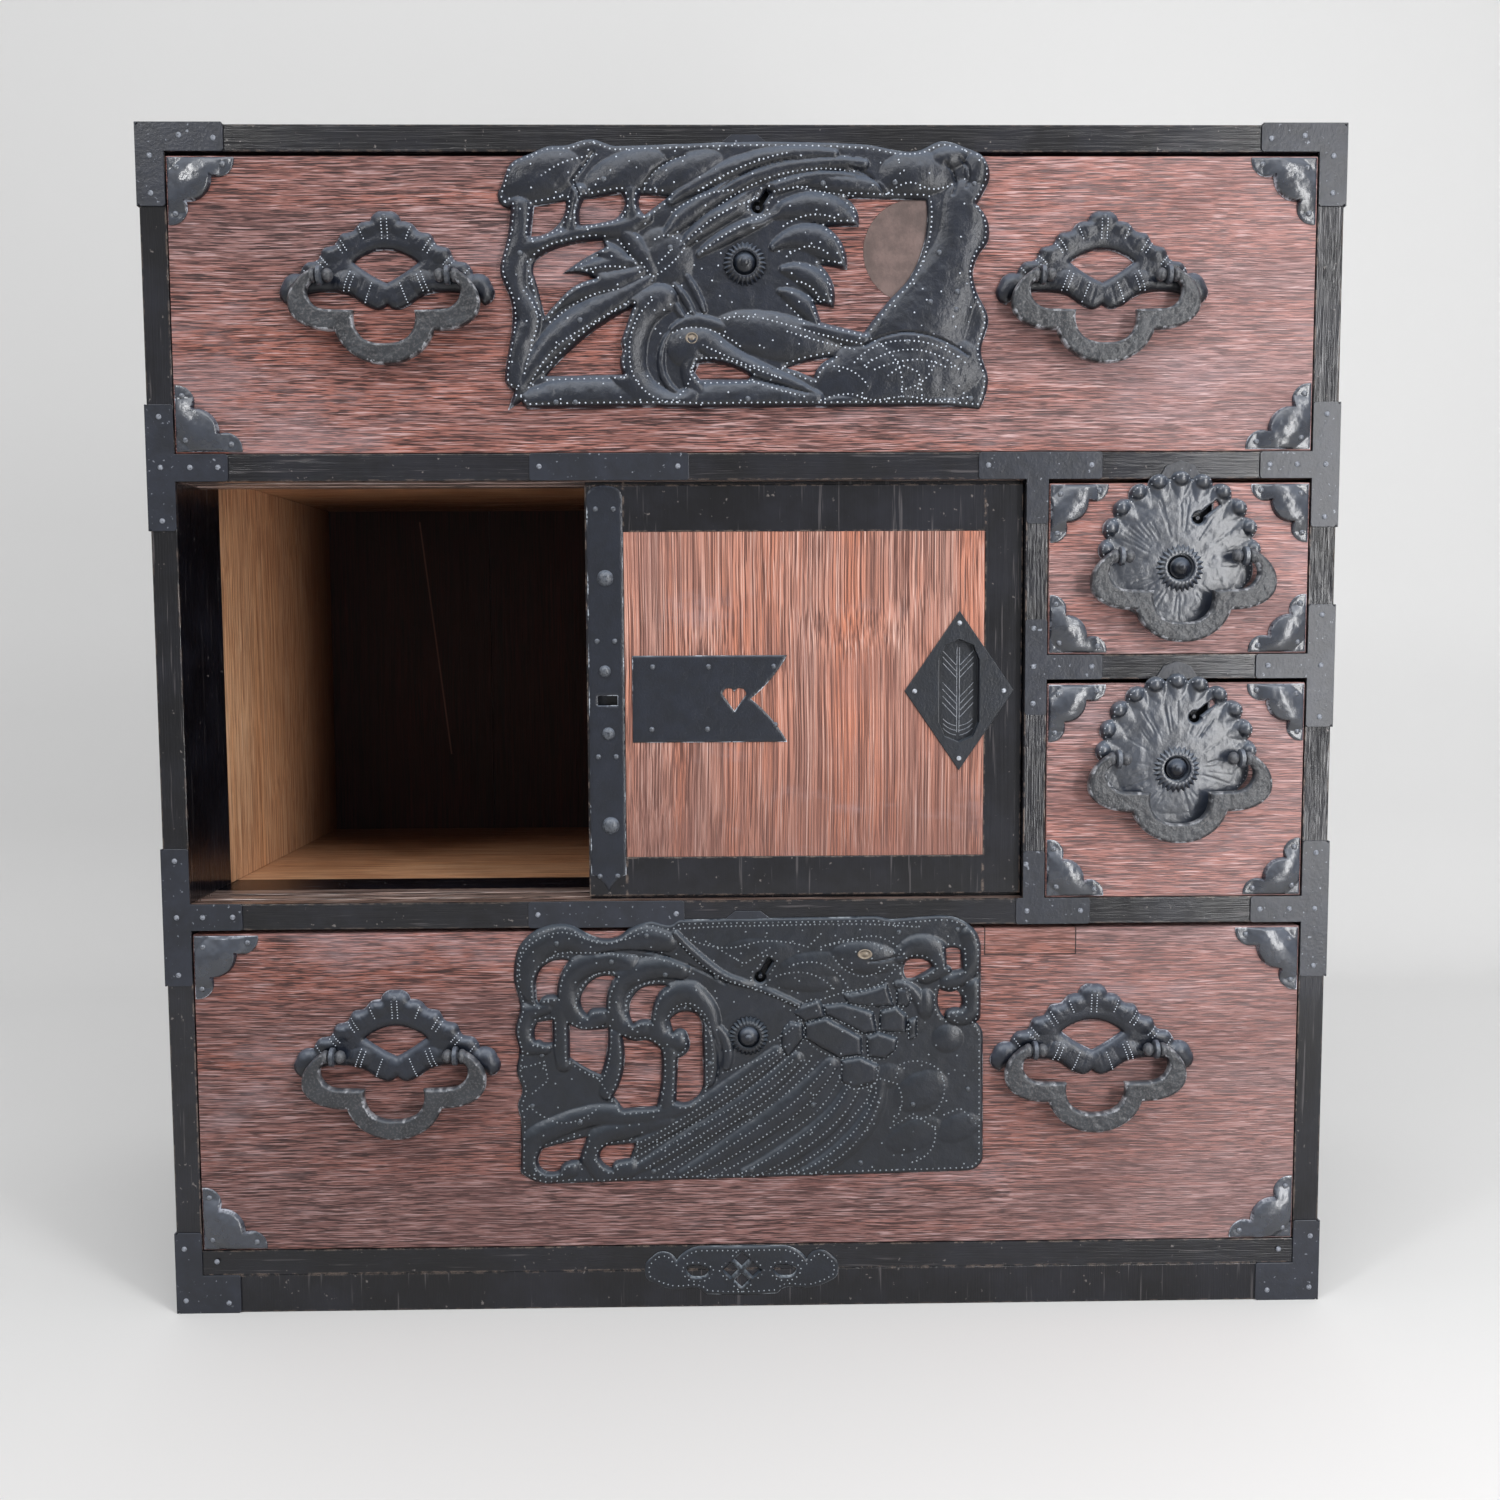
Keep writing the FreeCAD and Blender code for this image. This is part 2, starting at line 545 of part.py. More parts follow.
WAVE_DROP = 93.0
WAVE_EDGE = [
    (-172, -92), (-171, -53, 0.12), (-169.7, -29.4, 0.10), (-171.6, 0, 0.10),
    (-170.4, 32.7, 0.10), (-169.2, 81, 0.12), (-141, 96.3, 0.10), (-122, 90, -0.08),
    (-103, 85, -0.08), (-89, 92), (-74, 97.3), (-57, 95), (-51, 98.5), (93, 99.7),
    (104, 97.7), (121, 98.7), (157, 96.8, 0.16), (172.2, 75), (172.2, 24),
    (168.7, 19.4, 0.10), (174, 9.8), (174.6, -84.5, 0.20), (159, -94.6), (-89, -99),
    (-150, -101, 0.10)]
WAVE_HOLES = [
    [(-157.9, 41.2), (-157.4, 55.7, 0.10), (-149.1, 66.6), (-133.8, 68.3), (-138.5, 61.7),
     (-142.8, 42.4), (-148, 43.1, -0.20), (-156.2, 36.8)],
    [(-125.5, 38.8, 0.10), (-114.9, 54.5), (-99.5, 56.2), (-104.2, 48.4),
     (-106.6, 32.7), (-112.5, 32.7, -0.20), (-120.8, 27.9)],
    [(-88.9, 26.7, 0.15), (-81.8, 46, 0.10), (-61, 48.9, -0.10), (-70, 38.8),
     (-73.5, 23.1, -0.15), (-86.5, 20.6)],
    [(-159.8, 15.8), (-157.4, 22.3), (-146.8, 23.8), (-146.8, 7.4), (-153.9, 7.4, -0.20),
     (-159.1, 8.6)],
    [(-133.8, -4.7), (-133.8, 20.6, -0.10), (-116.1, 15.8), (-105.4, 17.5), (-106.6, 0.1),
     (-111.3, -18), (-123.1, -12)],
    [(-101.9, -34.2), (-96, -21.7), (-94.8, 11), (-86.5, 7.4), (-75.9, 7.4),
     (-66.4, 0.1), (-66.4, -21.7), (-70, -42.2), (-94.8, -43.9)],
    [(-59.3, 23.1, 0.12), (-47, 29.5, 0.20), (-35.7, 19.4), (-35, -21.7), (-38.1, -33.7),
     (-46.3, -39.1), (-55.1, -38.6), (-53.4, -5.9, -0.25), (-45.9, 11, -0.35), (-57, 14)],
    [(-158.6, -83.3, 0.10), (-153.9, -73.6), (-122.4, -65.2), (-128.6, -83.3),
     (-135, -83.3, -0.15), (-143, -90.5), (-154, -90.5, 0.15)],
    [(-112.5, -79.7, 0.15), (-106.6, -72.4), (-86.5, -70.5), (-90.1, -82.1),
     (-96, -82.6, -0.20), (-104, -89, 0.15)],
    [(114.8, 61.7), (117.9, 66.6), (128.5, 67.3), (136.1, 61.7), (126.2, 55.7),
     (121.4, 53.3), (116.7, 53.3)],
    [(146.2, 75, 0.15), (156.9, 73.8), (157.6, 60), (151, 58.6, -0.15), (146.8, 63)],
    [(141.5, 44.8), (147.4, 42.4), (154.5, 43.6), (157.6, 38.8), (156.9, 30.3),
     (149.8, 30.3, -0.20), (145.1, 23.1), (141.5, 29.1)]]

FLOWER_R = 54.0           # cusps of the small drawers' lock plates
FLOWER_RISE = 2.5         # middle of the plate over the hinge axis
PETAL = 17.5              # degrees of each petal of the upper half
PETALS = 11
PETAL_BULGE = 0.38
LOWER_LOBES = 7
LOBE_BULGE = 0.16
BEAD_R = 5.4              # raised bead on each upper petal
BEAD_TOP_R = 2.6
BEAD_HEIGHT = 2.6
BEAD_SINK = 0.4           # beads and collars are let into the plate by this much
TEETH = 22
TOOTH_NOTCH = 0.88
COLLAR_TOP = 0.68         # top of a serrated collar over its foot
COLLAR_HEIGHT = 3.0


def flower_edge():
    """Chrysanthemum outline: deep petals above, shallow lobes below."""
    upper = PETAL * PETALS / 2
    lobe = (360 - PETAL * PETALS) / LOWER_LOBES
    angles = [(90 + upper - k * PETAL, PETAL_BULGE) for k in range(PETALS)]
    angles += [(90 - upper - k * lobe, LOBE_BULGE) for k in range(LOWER_LOBES)]
    return [(FLOWER_R * math.cos(math.radians(angle)), FLOWER_R * math.sin(math.radians(angle)),
             bulge) for angle, bulge in angles]


def petal_beads(x, z):
    """Raised beads on the upper petals."""
    beads = []
    for k in range(PETALS):
        angle = math.radians(90 + (k - (PETALS - 1) / 2) * PETAL)
        foot = V(x + FLOWER_R * math.cos(angle), PLATE_FACE + BEAD_SINK,
                 z + FLOWER_R * math.sin(angle))
        beads.append(filed([(BEAD_R, 0), (BEAD_TOP_R, BEAD_SINK + BEAD_HEIGHT)], foot,
                           V(0, -1, 0)))
    return beads


def serrated_collar(spec):
    """Toothed collar round a button, drawn in towards its rim."""
    foot = V(spec["lock_x"], PLATE_FACE + BEAD_SINK, button_z(spec))
    outer = spec["collar_r"]
    return filed([(outer, 0), (outer * COLLAR_TOP, BEAD_SINK + COLLAR_HEIGHT)], foot,
                 V(0, -1, 0), 2 * TEETH, TOOTH_NOTCH)


def key_hole(spec):
    """Round keyhole with its leaning slot, cut through the lock plate."""
    x, z = key_place(spec)
    start = PLATE_FACE - CUT_OVER
    depth = PLATE_T + 2 * CUT_OVER
    slot = box(x - KEY_SLOT_W / 2, start, z, x + KEY_SLOT_W / 2, start + depth,
               z + spec["slot"])
    slot.rotate(V(x, 0, z), V(0, 1, 0), spec["slot_lean"])
    hole = filed([(KEY_HOLE_R, 0), (KEY_HOLE_R, depth)], V(x, start, z), V(0, 1, 0), EYE_SIDES)
    return hole.fuse(slot)


def small_lock_plate(spec):
    """Chrysanthemum plate that also carries the drawer's handle."""
    x = spec["handles"][0]
    z = hinge_z(spec) + FLOWER_RISE
    plate = fuse([sheet(flower_edge(), x, z, FRONT, PLATE_T)] + petal_beads(x, z))
    return plate.cut([post_shank(x + side * POST_X, hinge_z(spec)) for side in (-1, 1)])


def rail_relief(spec):
    """Space behind the top of a lock plate, clear of the rail and its strike."""
    foot = front_box(spec)[5] - RELIEF_START
    return box(-CASE_W / 2, FRONT - STRIKE_RELIEF, foot, CASE_W / 2, FRONT + CUT_OVER, CASE_H)


def lock_plate(name, spec):
    if name == "top_drawer":
        plate = sheet(CRANE_EDGE, 0, spec["z1"] - CRANE_DROP, FRONT, PLATE_T, CRANE_HOLES)
    elif name == "base_drawer":
        plate = sheet(WAVE_EDGE, 0, spec["z1"] - WAVE_DROP, FRONT, PLATE_T, WAVE_HOLES)
    else:
        plate = small_lock_plate(spec)
    well_r = spec["button_r"] + BUTTON_CLEARANCE
    well = filed([(well_r, -CUT_OVER), (well_r, BUTTON_WELL)],
                 V(spec["lock_x"], FRONT, button_z(spec)), V(0, -1, 0), SHAFT_SIDES)
    plate = plate.fuse(serrated_collar(spec))
    return plate.cut([well, key_hole(spec), rail_relief(spec)]).removeSplitter()


# ---- locks --------------------------------------------------------------------
def lock_box(spec):
    """Outer box of the iron lock case let into a drawer front."""
    half = LOCK_W / 2
    return (spec["lock_x"] - half, FRONT, button_z(spec) - LOCK_BELOW,
            spec["lock_x"] + half, FRONT + LOCK_DEPTH, front_box(spec)[5] - LOCK_TOP_COVER)


def bolt_slot(spec):
    """Way of the bolt through the lock case's roof and the wood above it."""
    top = front_box(spec)[5]
    y = FRONT + BOLT_SETBACK
    half = BOLT_W / 2 + BOLT_PLAY
    return box(spec["lock_x"] - half, y - BOLT_PLAY,
               top - LOCK_TOP_COVER - LOCK_WALL - CUT_OVER, spec["lock_x"] + half,
               y + BOLT_T + BOLT_PLAY, top + CUT_OVER)


def open_shell(corners):
    """Iron case of thin walls, open to the front."""
    x0, y0, z0, x1, y1, z1 = corners
    w = LOCK_WALL
    return box(*corners).cut(box(x0 + w, y0 - CUT_OVER, z0 + w, x1 - w, y1 - w, z1 - w))


def lock_case(spec):
    """Lock case with the pin that a barrel key turns on."""
    x, z = key_place(spec)
    pin = filed([(KEY_PIN_R, 0), (KEY_PIN_R, LOCK_DEPTH - LOCK_WALL)], V(x, FRONT, z),
                V(0, 1, 0))
    return fuse([open_shell(lock_box(spec)).cut(bolt_slot(spec)), pin])


def leaf_spring(spec):
    """Bowed leaf spring lying in the bottom of the lock case."""
    half = LOCK_W / 2 - LOCK_WALL - SPRING_END_GAP
    strip = [(-half, 0, 0.06), (half, 0), (half - SPRING_T, SPRING_T, -0.06),
             (-half + SPRING_T, SPRING_T)]
    return sheet(strip, spec["lock_x"], lock_box(spec)[2] + LOCK_WALL,
                 FRONT + BOLT_SETBACK + BOLT_T, BOLT_T)


def lock_bolt(spec):
    """Flat bolt with a bevelled nose and a notch for the key, drawn down."""
    top = front_box(spec)[5] - BOLT_PLAY
    foot = top - BOLT_H
    x = spec["lock_x"]
    y = FRONT + BOLT_SETBACK
    profile = [V(x - BOLT_W / 2, y, foot), V(x - BOLT_W / 2, y + BOLT_T, foot),
               V(x - BOLT_W / 2, y + BOLT_T, top), V(x - BOLT_W / 2, y + BOLT_BEVEL, top),
               V(x - BOLT_W / 2, y, top - BOLT_BEVEL)]
    bar = Part.Face(Part.makePolygon(profile + profile[:1])).extrude(V(BOLT_W, 0, 0))
    notch = box(x - KEY_NOTCH_W / 2, y - CUT_OVER, foot - CUT_OVER, x + KEY_NOTCH_W / 2,
                y + BOLT_T + CUT_OVER, foot + KEY_NOTCH_H)
    return bar.cut(notch)


def lock_button(spec):
    """Push button: flange behind the plate, round shaft, dome and nipple."""
    r = spec["button_r"]
    x, z = spec["lock_x"], button_z(spec)
    outward = V(0, -1, 0)
    flange = FRONT + BUTTON_FLANGE_GAP
    shaft = PLATE_FACE - BUTTON_SHAFT
    return fuse([
        filed([(r + BUTTON_FLANGE, -BUTTON_FLANGE_T), (r + BUTTON_FLANGE, 0)],
              V(x, flange, z), outward, SHAFT_SIDES),
        filed([(r, 0), (r, flange - shaft)], V(x, flange, z), outward, SHAFT_SIDES),
        filed([(r, 0), (r / 2, BUTTON_DOME), (BUTTON_TIP_R, BUTTON_DOME + BUTTON_NIPPLE)],
              V(x, shaft, z), outward, SHAFT_SIDES)])


# ---- handles ------------------------------------------------------------------
BAIL_OUTER = [(50.5, 3.6, 0.43), (49, -37), (34.7, -38.5, 0.16), (0, -62)]
BAIL_INNER = [(50.5, -3.6, 0.30), (45, -24.5), (21.5, -24.5), (22, -34, 0.15), (11.5, -46), (0, -47.6)]
TIP_BEAD = [(2.4, -4.2), (4.8, -1.6), (4.8, 1.6), (3.6, 2.8)]    # radius, place on the axis
CLOUD_HALF = [(0, 47, 0.22), (11, 40, 0.16), (23.4, 33.2, 0.20), (36, 23.9, 0.20),
              (48.5, 13.1, 0.20), (61.5, 3.3, 0.22), (74.5, -4, 0.30), (69, -18.5, -0.10),
              (45, -9.5), (25, -12.5), (13, -20, 0.20), (0, -18.5)]
CLOUD_LENS = [(-23, 11, 0.20), (22, 11), (9, 2), (0, -3), (-10, 2)]


def post_shank(x, z):
    """Square shank of a post, through plate and drawer front."""
    return box(x - POST_T / 2, FRONT - HINGE_REACH + POST_R - CLENCH_T, z - POST_SHANK / 2,
               x + POST_T / 2, FRONT + FRONT_T, z + POST_SHANK / 2)


def handle_post(x, z, outward):
    """Eye with its shank, the end clenched over inside the drawer."""
    centre = V(x - POST_T / 2, FRONT - HINGE_REACH, z)
    eye = filed([(POST_R, 0), (POST_R, POST_T)], centre, V(1, 0, 0), EYE_SIDES)
    inside = FRONT + FRONT_T
    clench = box(x, inside, z - POST_SHANK / 2, x + outward * POST_CLENCH,
                 inside + CLENCH_T, z + POST_SHANK / 2)
    bore_r = (PIN_R + PIN_CLEARANCE) / math.cos(math.pi / EYE_SIDES)
    bore = filed([(bore_r, -CUT_OVER), (bore_r, POST_T + CUT_OVER)], centre, V(1, 0, 0),
                 EYE_SIDES)
    return fuse([eye, post_shank(x, z), clench]).cut(bore)


def bail_end(x, z, side):
    """Neck through the post, the bead on its tip and the collar outside the post."""
    axis = V(side, 0, 0)
    tip_x = POST_X - POST_T / 2 - TIP_REACH
    collar_x = POST_X + POST_T / 2 + COLLAR_GAP
    y = FRONT - HINGE_REACH
    neck = rod(PIN_R, V(x + side * tip_x, y, z), axis, collar_x + COLLAR_W - tip_x)
    bead = filed(TIP_BEAD, V(x + side * tip_x, y, z), axis)
    collar = filed([(COLLAR_R, 0), (COLLAR_R, COLLAR_W)], V(x + side * collar_x, y, z), axis)
    return [neck, bead, collar]


def bail(x, z):
    """Drop handle: a forged quatrefoil bar hung from its two necks."""
    points = (leg(BAIL_OUTER)[:-1] + leg(BAIL_OUTER, mirror=True, reverse=True)
              + leg(BAIL_INNER, mirror=True)[:-1] + leg(BAIL_INNER, reverse=True))
    bar = sheet(points, x, z, FRONT - HINGE_REACH + BAIL_T / 2, BAIL_T)
    rims = [edge for edge in bar.Edges if edge.BoundBox.YLength < BAIL_T / 2]
    bar = bar.makeChamfer(BAIL_CHAMFER, rims)
    return fuse([bar] + bail_end(x, z, -1) + bail_end(x, z, 1))


def handle_plate(x, z):
    """Cloud-shaped plate with a lens opening between the posts."""
    plate = sheet(mirrored(CLOUD_HALF), x, z, FRONT, HANDLE_PLATE_T, [CLOUD_LENS])
    return plate.cut([post_shank(x - POST_X, z), post_shank(x + POST_X, z)])


# ---- corner irons -------------------------------------------------------------
IRON_INSET = 1.0          # corner irons inside the edges of the drawer front
# Outline between the legs' ends as shares of the legs, with each scallop's rise over its chord.
SCALLOPS = ((1.0, 0.0, 0.28), (0.66, 0.28, 0.22), (0.28, 0.66, 0.28), (0.0, 1.0, 0.0))


def corner_iron(x, z, side_x, side_z, reach):
    """Corner iron with three convex scallops towards the drawer's middle."""
    points = [(0, 0)]
    for u, v, rise in SCALLOPS:
        points.append((-side_x * u * reach, -side_z * v * reach, -side_x * side_z * rise))
    return sheet(points, x, z, FRONT, IRON_T)


def make_corner_irons(name, spec):
    x0, _, z0, x1, _, z1 = front_box(spec)
    for x, side_x in ((x0 + IRON_INSET, -1), (x1 - IRON_INSET, 1)):
        for z, side_z in ((z0 + IRON_INSET, -1), (z1 - IRON_INSET, 1)):
            keep(name + "_corner_irons", corner_iron(x, z, side_x, side_z, spec["iron"]))


# ---- drawers ------------------------------------------------------------------
def drawer_boards(spec):
    """Left and right side, bottom and back of a drawer."""
    x0, _, z0, x1, _, z1 = front_box(spec)
    lap = FRONT + FRONT_T - DRAWER_LAP
    end = BACK_FACE - DRAWER_GAP_BACK
    floor = z0 + DRAWER_BOTTOM_T
    rim = z1 - SIDE_DROP
    left = box(x0, lap, floor, x0 + DRAWER_SIDE_T, end, rim)
    right = box(x1 - DRAWER_SIDE_T, lap, floor, x1, end, rim)
    bottom = box(x0, lap, z0, x1, end, floor)
    back = box(x0 + DRAWER_SIDE_T, end - DRAWER_SIDE_T, floor, x1 - DRAWER_SIDE_T, end,
               z1 - BACK_DROP)
    return left, right, bottom, back


def moon_disc(spec):
    centre = V(MOON[0], FRONT, spec["z1"] - CRANE_DROP + MOON[1])
    return filed([(MOON_R, 0), (MOON_R, MOON_T)], centre, V(0, 1, 0), MOON_SIDES)


def make_drawer(name, spec):
    left, right, bottom, back = drawer_boards(spec)
    shanks = [post_shank(x + side * POST_X, hinge_z(spec))
              for x in spec["handles"] for side in (-1, 1)]
    front = box(*front_box(spec))
    front = front.cut([left, right, bottom, box(*lock_box(spec)), bolt_slot(spec)] + shanks)
    if name == "top_drawer":
        front = front.cut(moon_disc(spec))
        keep("moon_inlay", moon_disc(spec))
    keep(name + "_front", front)
    keep(name + "_box", left, right, bottom, back)
    make_corner_irons(name, spec)
    keep(name + "_lock_case", lock_case(spec), leaf_spring(spec))
    keep(name + "_lock_bolt", lock_bolt(spec))
    keep(name + "_lock_button", lock_button(spec))
    keep(name + "_lock_plate", lock_plate(name, spec))
    make_handles(name, spec)


def make_handles(name, spec):
    """Bails with their posts, on cloud plates or on the lock plate itself."""
    z = hinge_z(spec)
    if has_side_handles(spec):
        carrier = name + "_handle_plates"
        bails = (name + "_bail_left", name + "_bail_right")
        keep(carrier, *[handle_plate(x, z) for x in spec["handles"]])
    else:
        carrier = name + "_lock_plate"
        bails = (name + "_bail",)
    for x, bail_name in zip(spec["handles"], bails):
        keep(bail_name, bail(x, z))
        for side in (-1, 1):
            keep(carrier, handle_post(x + side * POST_X, z, side))


# ---- sliding doors ------------------------------------------------------------
BAND_W = 26.0             # lock band on the meeting stile
BAND_SHIFT = 0.5
BAND_TOP_GAP = 1.0
BAND_FOOT_GAP = 3.0
BAND_SHOULDER = 8.0
BAND_POINT = 13.0
KEY_SLOT = (-6.5, -9.25, 8.0, -2.25)      # left, foot, right, top from the door's middle
STUD_R = 6.0
STUD_TOP_R = 2.6
STUD_HEIGHT = 3.4
STUDS = (84.0, 16.0, -30.0, -98.0)    # from the door's middle height
STRAP_FROM_STILE = 5.5    # swallow-tailed strap on the panel
STRAP_BELOW_MID = 5.0
STRAP_L = 114.0
STRAP_H = 64.0
STRAP_NOTCH = 27.0
HEART = [(75, -9), (66.5, 3, 0.45), (75, 5, 0.45), (83.5, 3)]
PULL_IN = 46.5            # middle of the finger pull from the door's closing edge
PULL_HALF_W = 40.5
PULL_HALF_H = 59.0
DISH_W = 29.5
DISH_H = 76.0
DISH_DEPTH = 6.5
DISH_WALL = 1.0
DOOR_LOCK_W = 20.0
DOOR_LOCK_H = 60.0
DOOR_LOCK_DEPTH = 12.0


def door_box(track):
    """Outer box of a door at rest, both stacked behind each other on the right."""
    x1 = PARTITION_X - DOOR_END_GAP
    y0 = door_front(track)
    return (x1 - DOOR_W, y0, CUPBOARD_Z + DOOR_GAP, x1, y0 + DOOR_T, HIGH_RAIL_Z - DOOR_GAP)


def door_tongues(track, x0, x1):
    """Tongues on a door's bottom and top edge, running in the grooves."""
    _, y0, z0, _, _, z1 = door_box(track)
    y = y0 + (DOOR_T - DOOR_TONGUE_T) / 2
    low = box(x0, y, CUPBOARD_Z - TRACK_DEPTH + TRACK_FLOOR_PLAY, x1, y + DOOR_TONGUE_T, z0)
    high = box(x0, y, z1, x1, y + DOOR_TONGUE_T, HIGH_RAIL_Z + TRACK_DEPTH - TRACK_TOP_PLAY)
    return low, high


def stadium(width, height):
    """Upright slot outline with half-round ends."""
    r = width / 2
    s = height / 2 - r
    return [(-r, -s), (-r, s, 0.5), (r, s), (r, -s, 0.5)]


def pull_dish(x, y):
    """Outside of the finger pull's dished recess."""
    return sheet(stadium(DISH_W + 2 * DISH_WALL, DISH_H + 2 * DISH_WALL), x, DOOR_MID,
                 y + DISH_DEPTH, DISH_DEPTH)


def finger_pull(x, y):
    """Diamond plate with a dished finger recess."""
    diamond = [(-PULL_HALF_W, 0), (0, PULL_HALF_H), (PULL_HALF_W, 0), (0, -PULL_HALF_H)]
    hollow = sheet(stadium(DISH_W, DISH_H), x, DOOR_MID, y + DISH_DEPTH - DISH_WALL,
                   DISH_DEPTH + IRON_T)
    return fuse([sheet(diamond, x, DOOR_MID, y, IRON_T), pull_dish(x, y)]).cut(hollow)


def door_rails(track):
    """Bottom and top rail of a door with their tenons and track tongues."""
    x0, y0, z0, x1, y1, z1 = door_box(track)
    inner_x0, inner_x1 = x0 + DOOR_STILE_W, x1 - DOOR_STILE_W
    tenon_y = y0 + (DOOR_T - TENON_T) / 2
    spans = ((z0, z0 + DOOR_LOW_RAIL_W), (z1 - DOOR_TOP_RAIL_W, z1))
    rails = []
    for (foot, head), tongue in zip(spans, door_tongues(track, inner_x0, inner_x1)):
        tenon = box(inner_x0 - TENON, tenon_y, foot + TENON_SHOULDER, inner_x1 + TENON,
                    tenon_y + TENON_T, head - TENON_SHOULDER)
        rails.append(fuse([box(inner_x0, y0, foot, inner_x1, y1, head), tenon, tongue]))
    return rails


def door_stiles(track, rails):
    """Left and right stile of a door, mortised for the rails."""
    x0, y0, z0, x1, y1, z1 = door_box(track)
    stiles = []
    for left, right in ((x0, x0 + DOOR_STILE_W), (x1 - DOOR_STILE_W, x1)):
        stile = fuse([box(left, y0, z0, right, y1, z1), *door_tongues(track, left, right)])
        stiles.append(stile.cut(rails))
    return stiles


def make_door(name, track, pull_x, recesses=()):
    """Frame of two stiles and two rails round a flush panel, with its pull."""
    x0, y0, z0, x1, _, z1 = door_box(track)
    left, right = x0 + DOOR_STILE_W, x1 - DOOR_STILE_W
    foot, head = z0 + DOOR_LOW_RAIL_W, z1 - DOOR_TOP_RAIL_W
    face_back = y0 + PANEL_FACE_T
    tongue = box(left - PANEL_TONGUE, face_back, foot - PANEL_TONGUE, right + PANEL_TONGUE,
                 face_back + PANEL_TONGUE_T, head + PANEL_TONGUE)
    panel = fuse([box(left, y0, foot, right, face_back, head), tongue])
    cuts = [pull_dish(pull_x, y0)] + list(recesses)
    rails = door_rails(track)
    for piece in door_stiles(track, rails) + rails:
        keep(name + "_frame", piece.cut([tongue] + cuts))
    keep(name + "_panel", panel.cut(cuts))
    keep(name + "_pull", finger_pull(pull_x, y0))


def make_lock_band():
    """Iron band with a pointed foot, four studs and the key slot."""
    x0, y0, z0, _, _, z1 = door_box(0)
    x = x0 + DOOR_STILE_W / 2 + BAND_SHIFT
    top = z1 - BAND_TOP_GAP - DOOR_MID
    foot = z0 + BAND_FOOT_GAP - DOOR_MID
    half = [(0, top), (BAND_W / 2 - BAND_SHOULDER, top, 0.2),
            (BAND_W / 2, top - BAND_SHOULDER), (BAND_W / 2, foot + BAND_POINT, -0.12),
            (0, foot)]
    left, low, right, high = KEY_SLOT
    slot = [(left, low), (left, high), (right, high), (right, low)]
    studs = [filed([(STUD_R, -BEAD_SINK), (STUD_TOP_R, STUD_HEIGHT)],
                   V(x, y0 - IRON_T, DOOR_MID + height), V(0, -1, 0)) for height in STUDS]
    band = sheet(mirrored(half), x, DOOR_MID, y0, IRON_T, [slot])
    keep("front_door_lock_band", fuse([band] + studs))


def make_door_strap():
    """Swallow-tailed strap with a heart-shaped opening."""
    x0, y0 = door_box(0)[:2]
    half = STRAP_H / 2
    tail = [(0, -half), (0, half), (STRAP_L, half, 0.05), (STRAP_L - STRAP_NOTCH, 0, 0.05),
            (STRAP_L, -half)]
    keep("front_door_strap", sheet(tail, x0 + DOOR_STILE_W + STRAP_FROM_STILE,
                                   DOOR_MID - STRAP_BELOW_MID, y0, IRON_T, [HEART]))


def door_lock_corners():
    """Corners of the lock case let into the front door's meeting stile."""
    x0, y0 = door_box(0)[:2]
    x = x0 + DOOR_STILE_W / 2
    z = DOOR_MID - STRAP_BELOW_MID
    return (x - DOOR_LOCK_W / 2, y0, z - DOOR_LOCK_H / 2, x + DOOR_LOCK_W / 2,
            y0 + DOOR_LOCK_DEPTH, z + DOOR_LOCK_H / 2)


def make_doors():
    """Front door with its lock and strap, rear door behind it, pulls at far ends."""
    left_edge, right_edge = door_box(0)[0], door_box(0)[3]
    make_door("front_door", 0, right_edge - PULL_IN, [box(*door_lock_corners())])
    make_door("rear_door", 1, left_edge + PULL_IN)
    make_lock_band()
    make_door_strap()
    keep("front_door_lock_case", open_shell(door_lock_corners()))


def export():
    for name, solids in sorted(NODES.items()):
        shape = solids[0] if len(solids) == 1 else Part.makeCompound(solids)
        shape.exportStep("parts/" + name + ".step")


make_case()
make_straps()
make_strikes()
make_plaque()
for drawer_name, drawer_spec in DRAWERS.items():
    make_drawer(drawer_name, drawer_spec)
make_doors()
export()
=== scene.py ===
import math

import bpy
import numpy as np
from mathutils import Matrix, Vector, geometry, kdtree


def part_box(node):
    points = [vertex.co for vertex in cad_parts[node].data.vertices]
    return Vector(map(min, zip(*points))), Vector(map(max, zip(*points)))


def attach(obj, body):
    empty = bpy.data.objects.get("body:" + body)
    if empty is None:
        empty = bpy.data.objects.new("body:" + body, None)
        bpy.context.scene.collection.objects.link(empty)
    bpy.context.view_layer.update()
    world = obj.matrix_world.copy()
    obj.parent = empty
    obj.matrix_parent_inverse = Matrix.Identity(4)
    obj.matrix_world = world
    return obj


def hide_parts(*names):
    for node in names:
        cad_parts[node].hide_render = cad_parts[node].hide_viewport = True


# Small tansu chest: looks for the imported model. Lengths are millimetres here, and
# pieces are written in metres. Iron sheets lie in the x-z plane and face -Y.

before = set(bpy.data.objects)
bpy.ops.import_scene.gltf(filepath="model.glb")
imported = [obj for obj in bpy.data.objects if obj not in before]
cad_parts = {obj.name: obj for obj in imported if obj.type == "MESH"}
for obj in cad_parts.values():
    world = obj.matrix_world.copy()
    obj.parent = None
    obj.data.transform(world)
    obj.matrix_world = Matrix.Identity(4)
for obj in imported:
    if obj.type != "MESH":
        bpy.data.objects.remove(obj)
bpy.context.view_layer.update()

MM = 0.001


def node_box(node):
    """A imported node's box: low x, y, z, then high x, y, z."""
    low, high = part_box(node)
    return [value / MM for value in low] + [value / MM for value in high]


def centre_of(node):
    """Middle of a node's box in x and z."""
    box = node_box(node)
    return (box[0] + box[3]) / 2, (box[2] + box[5]) / 2


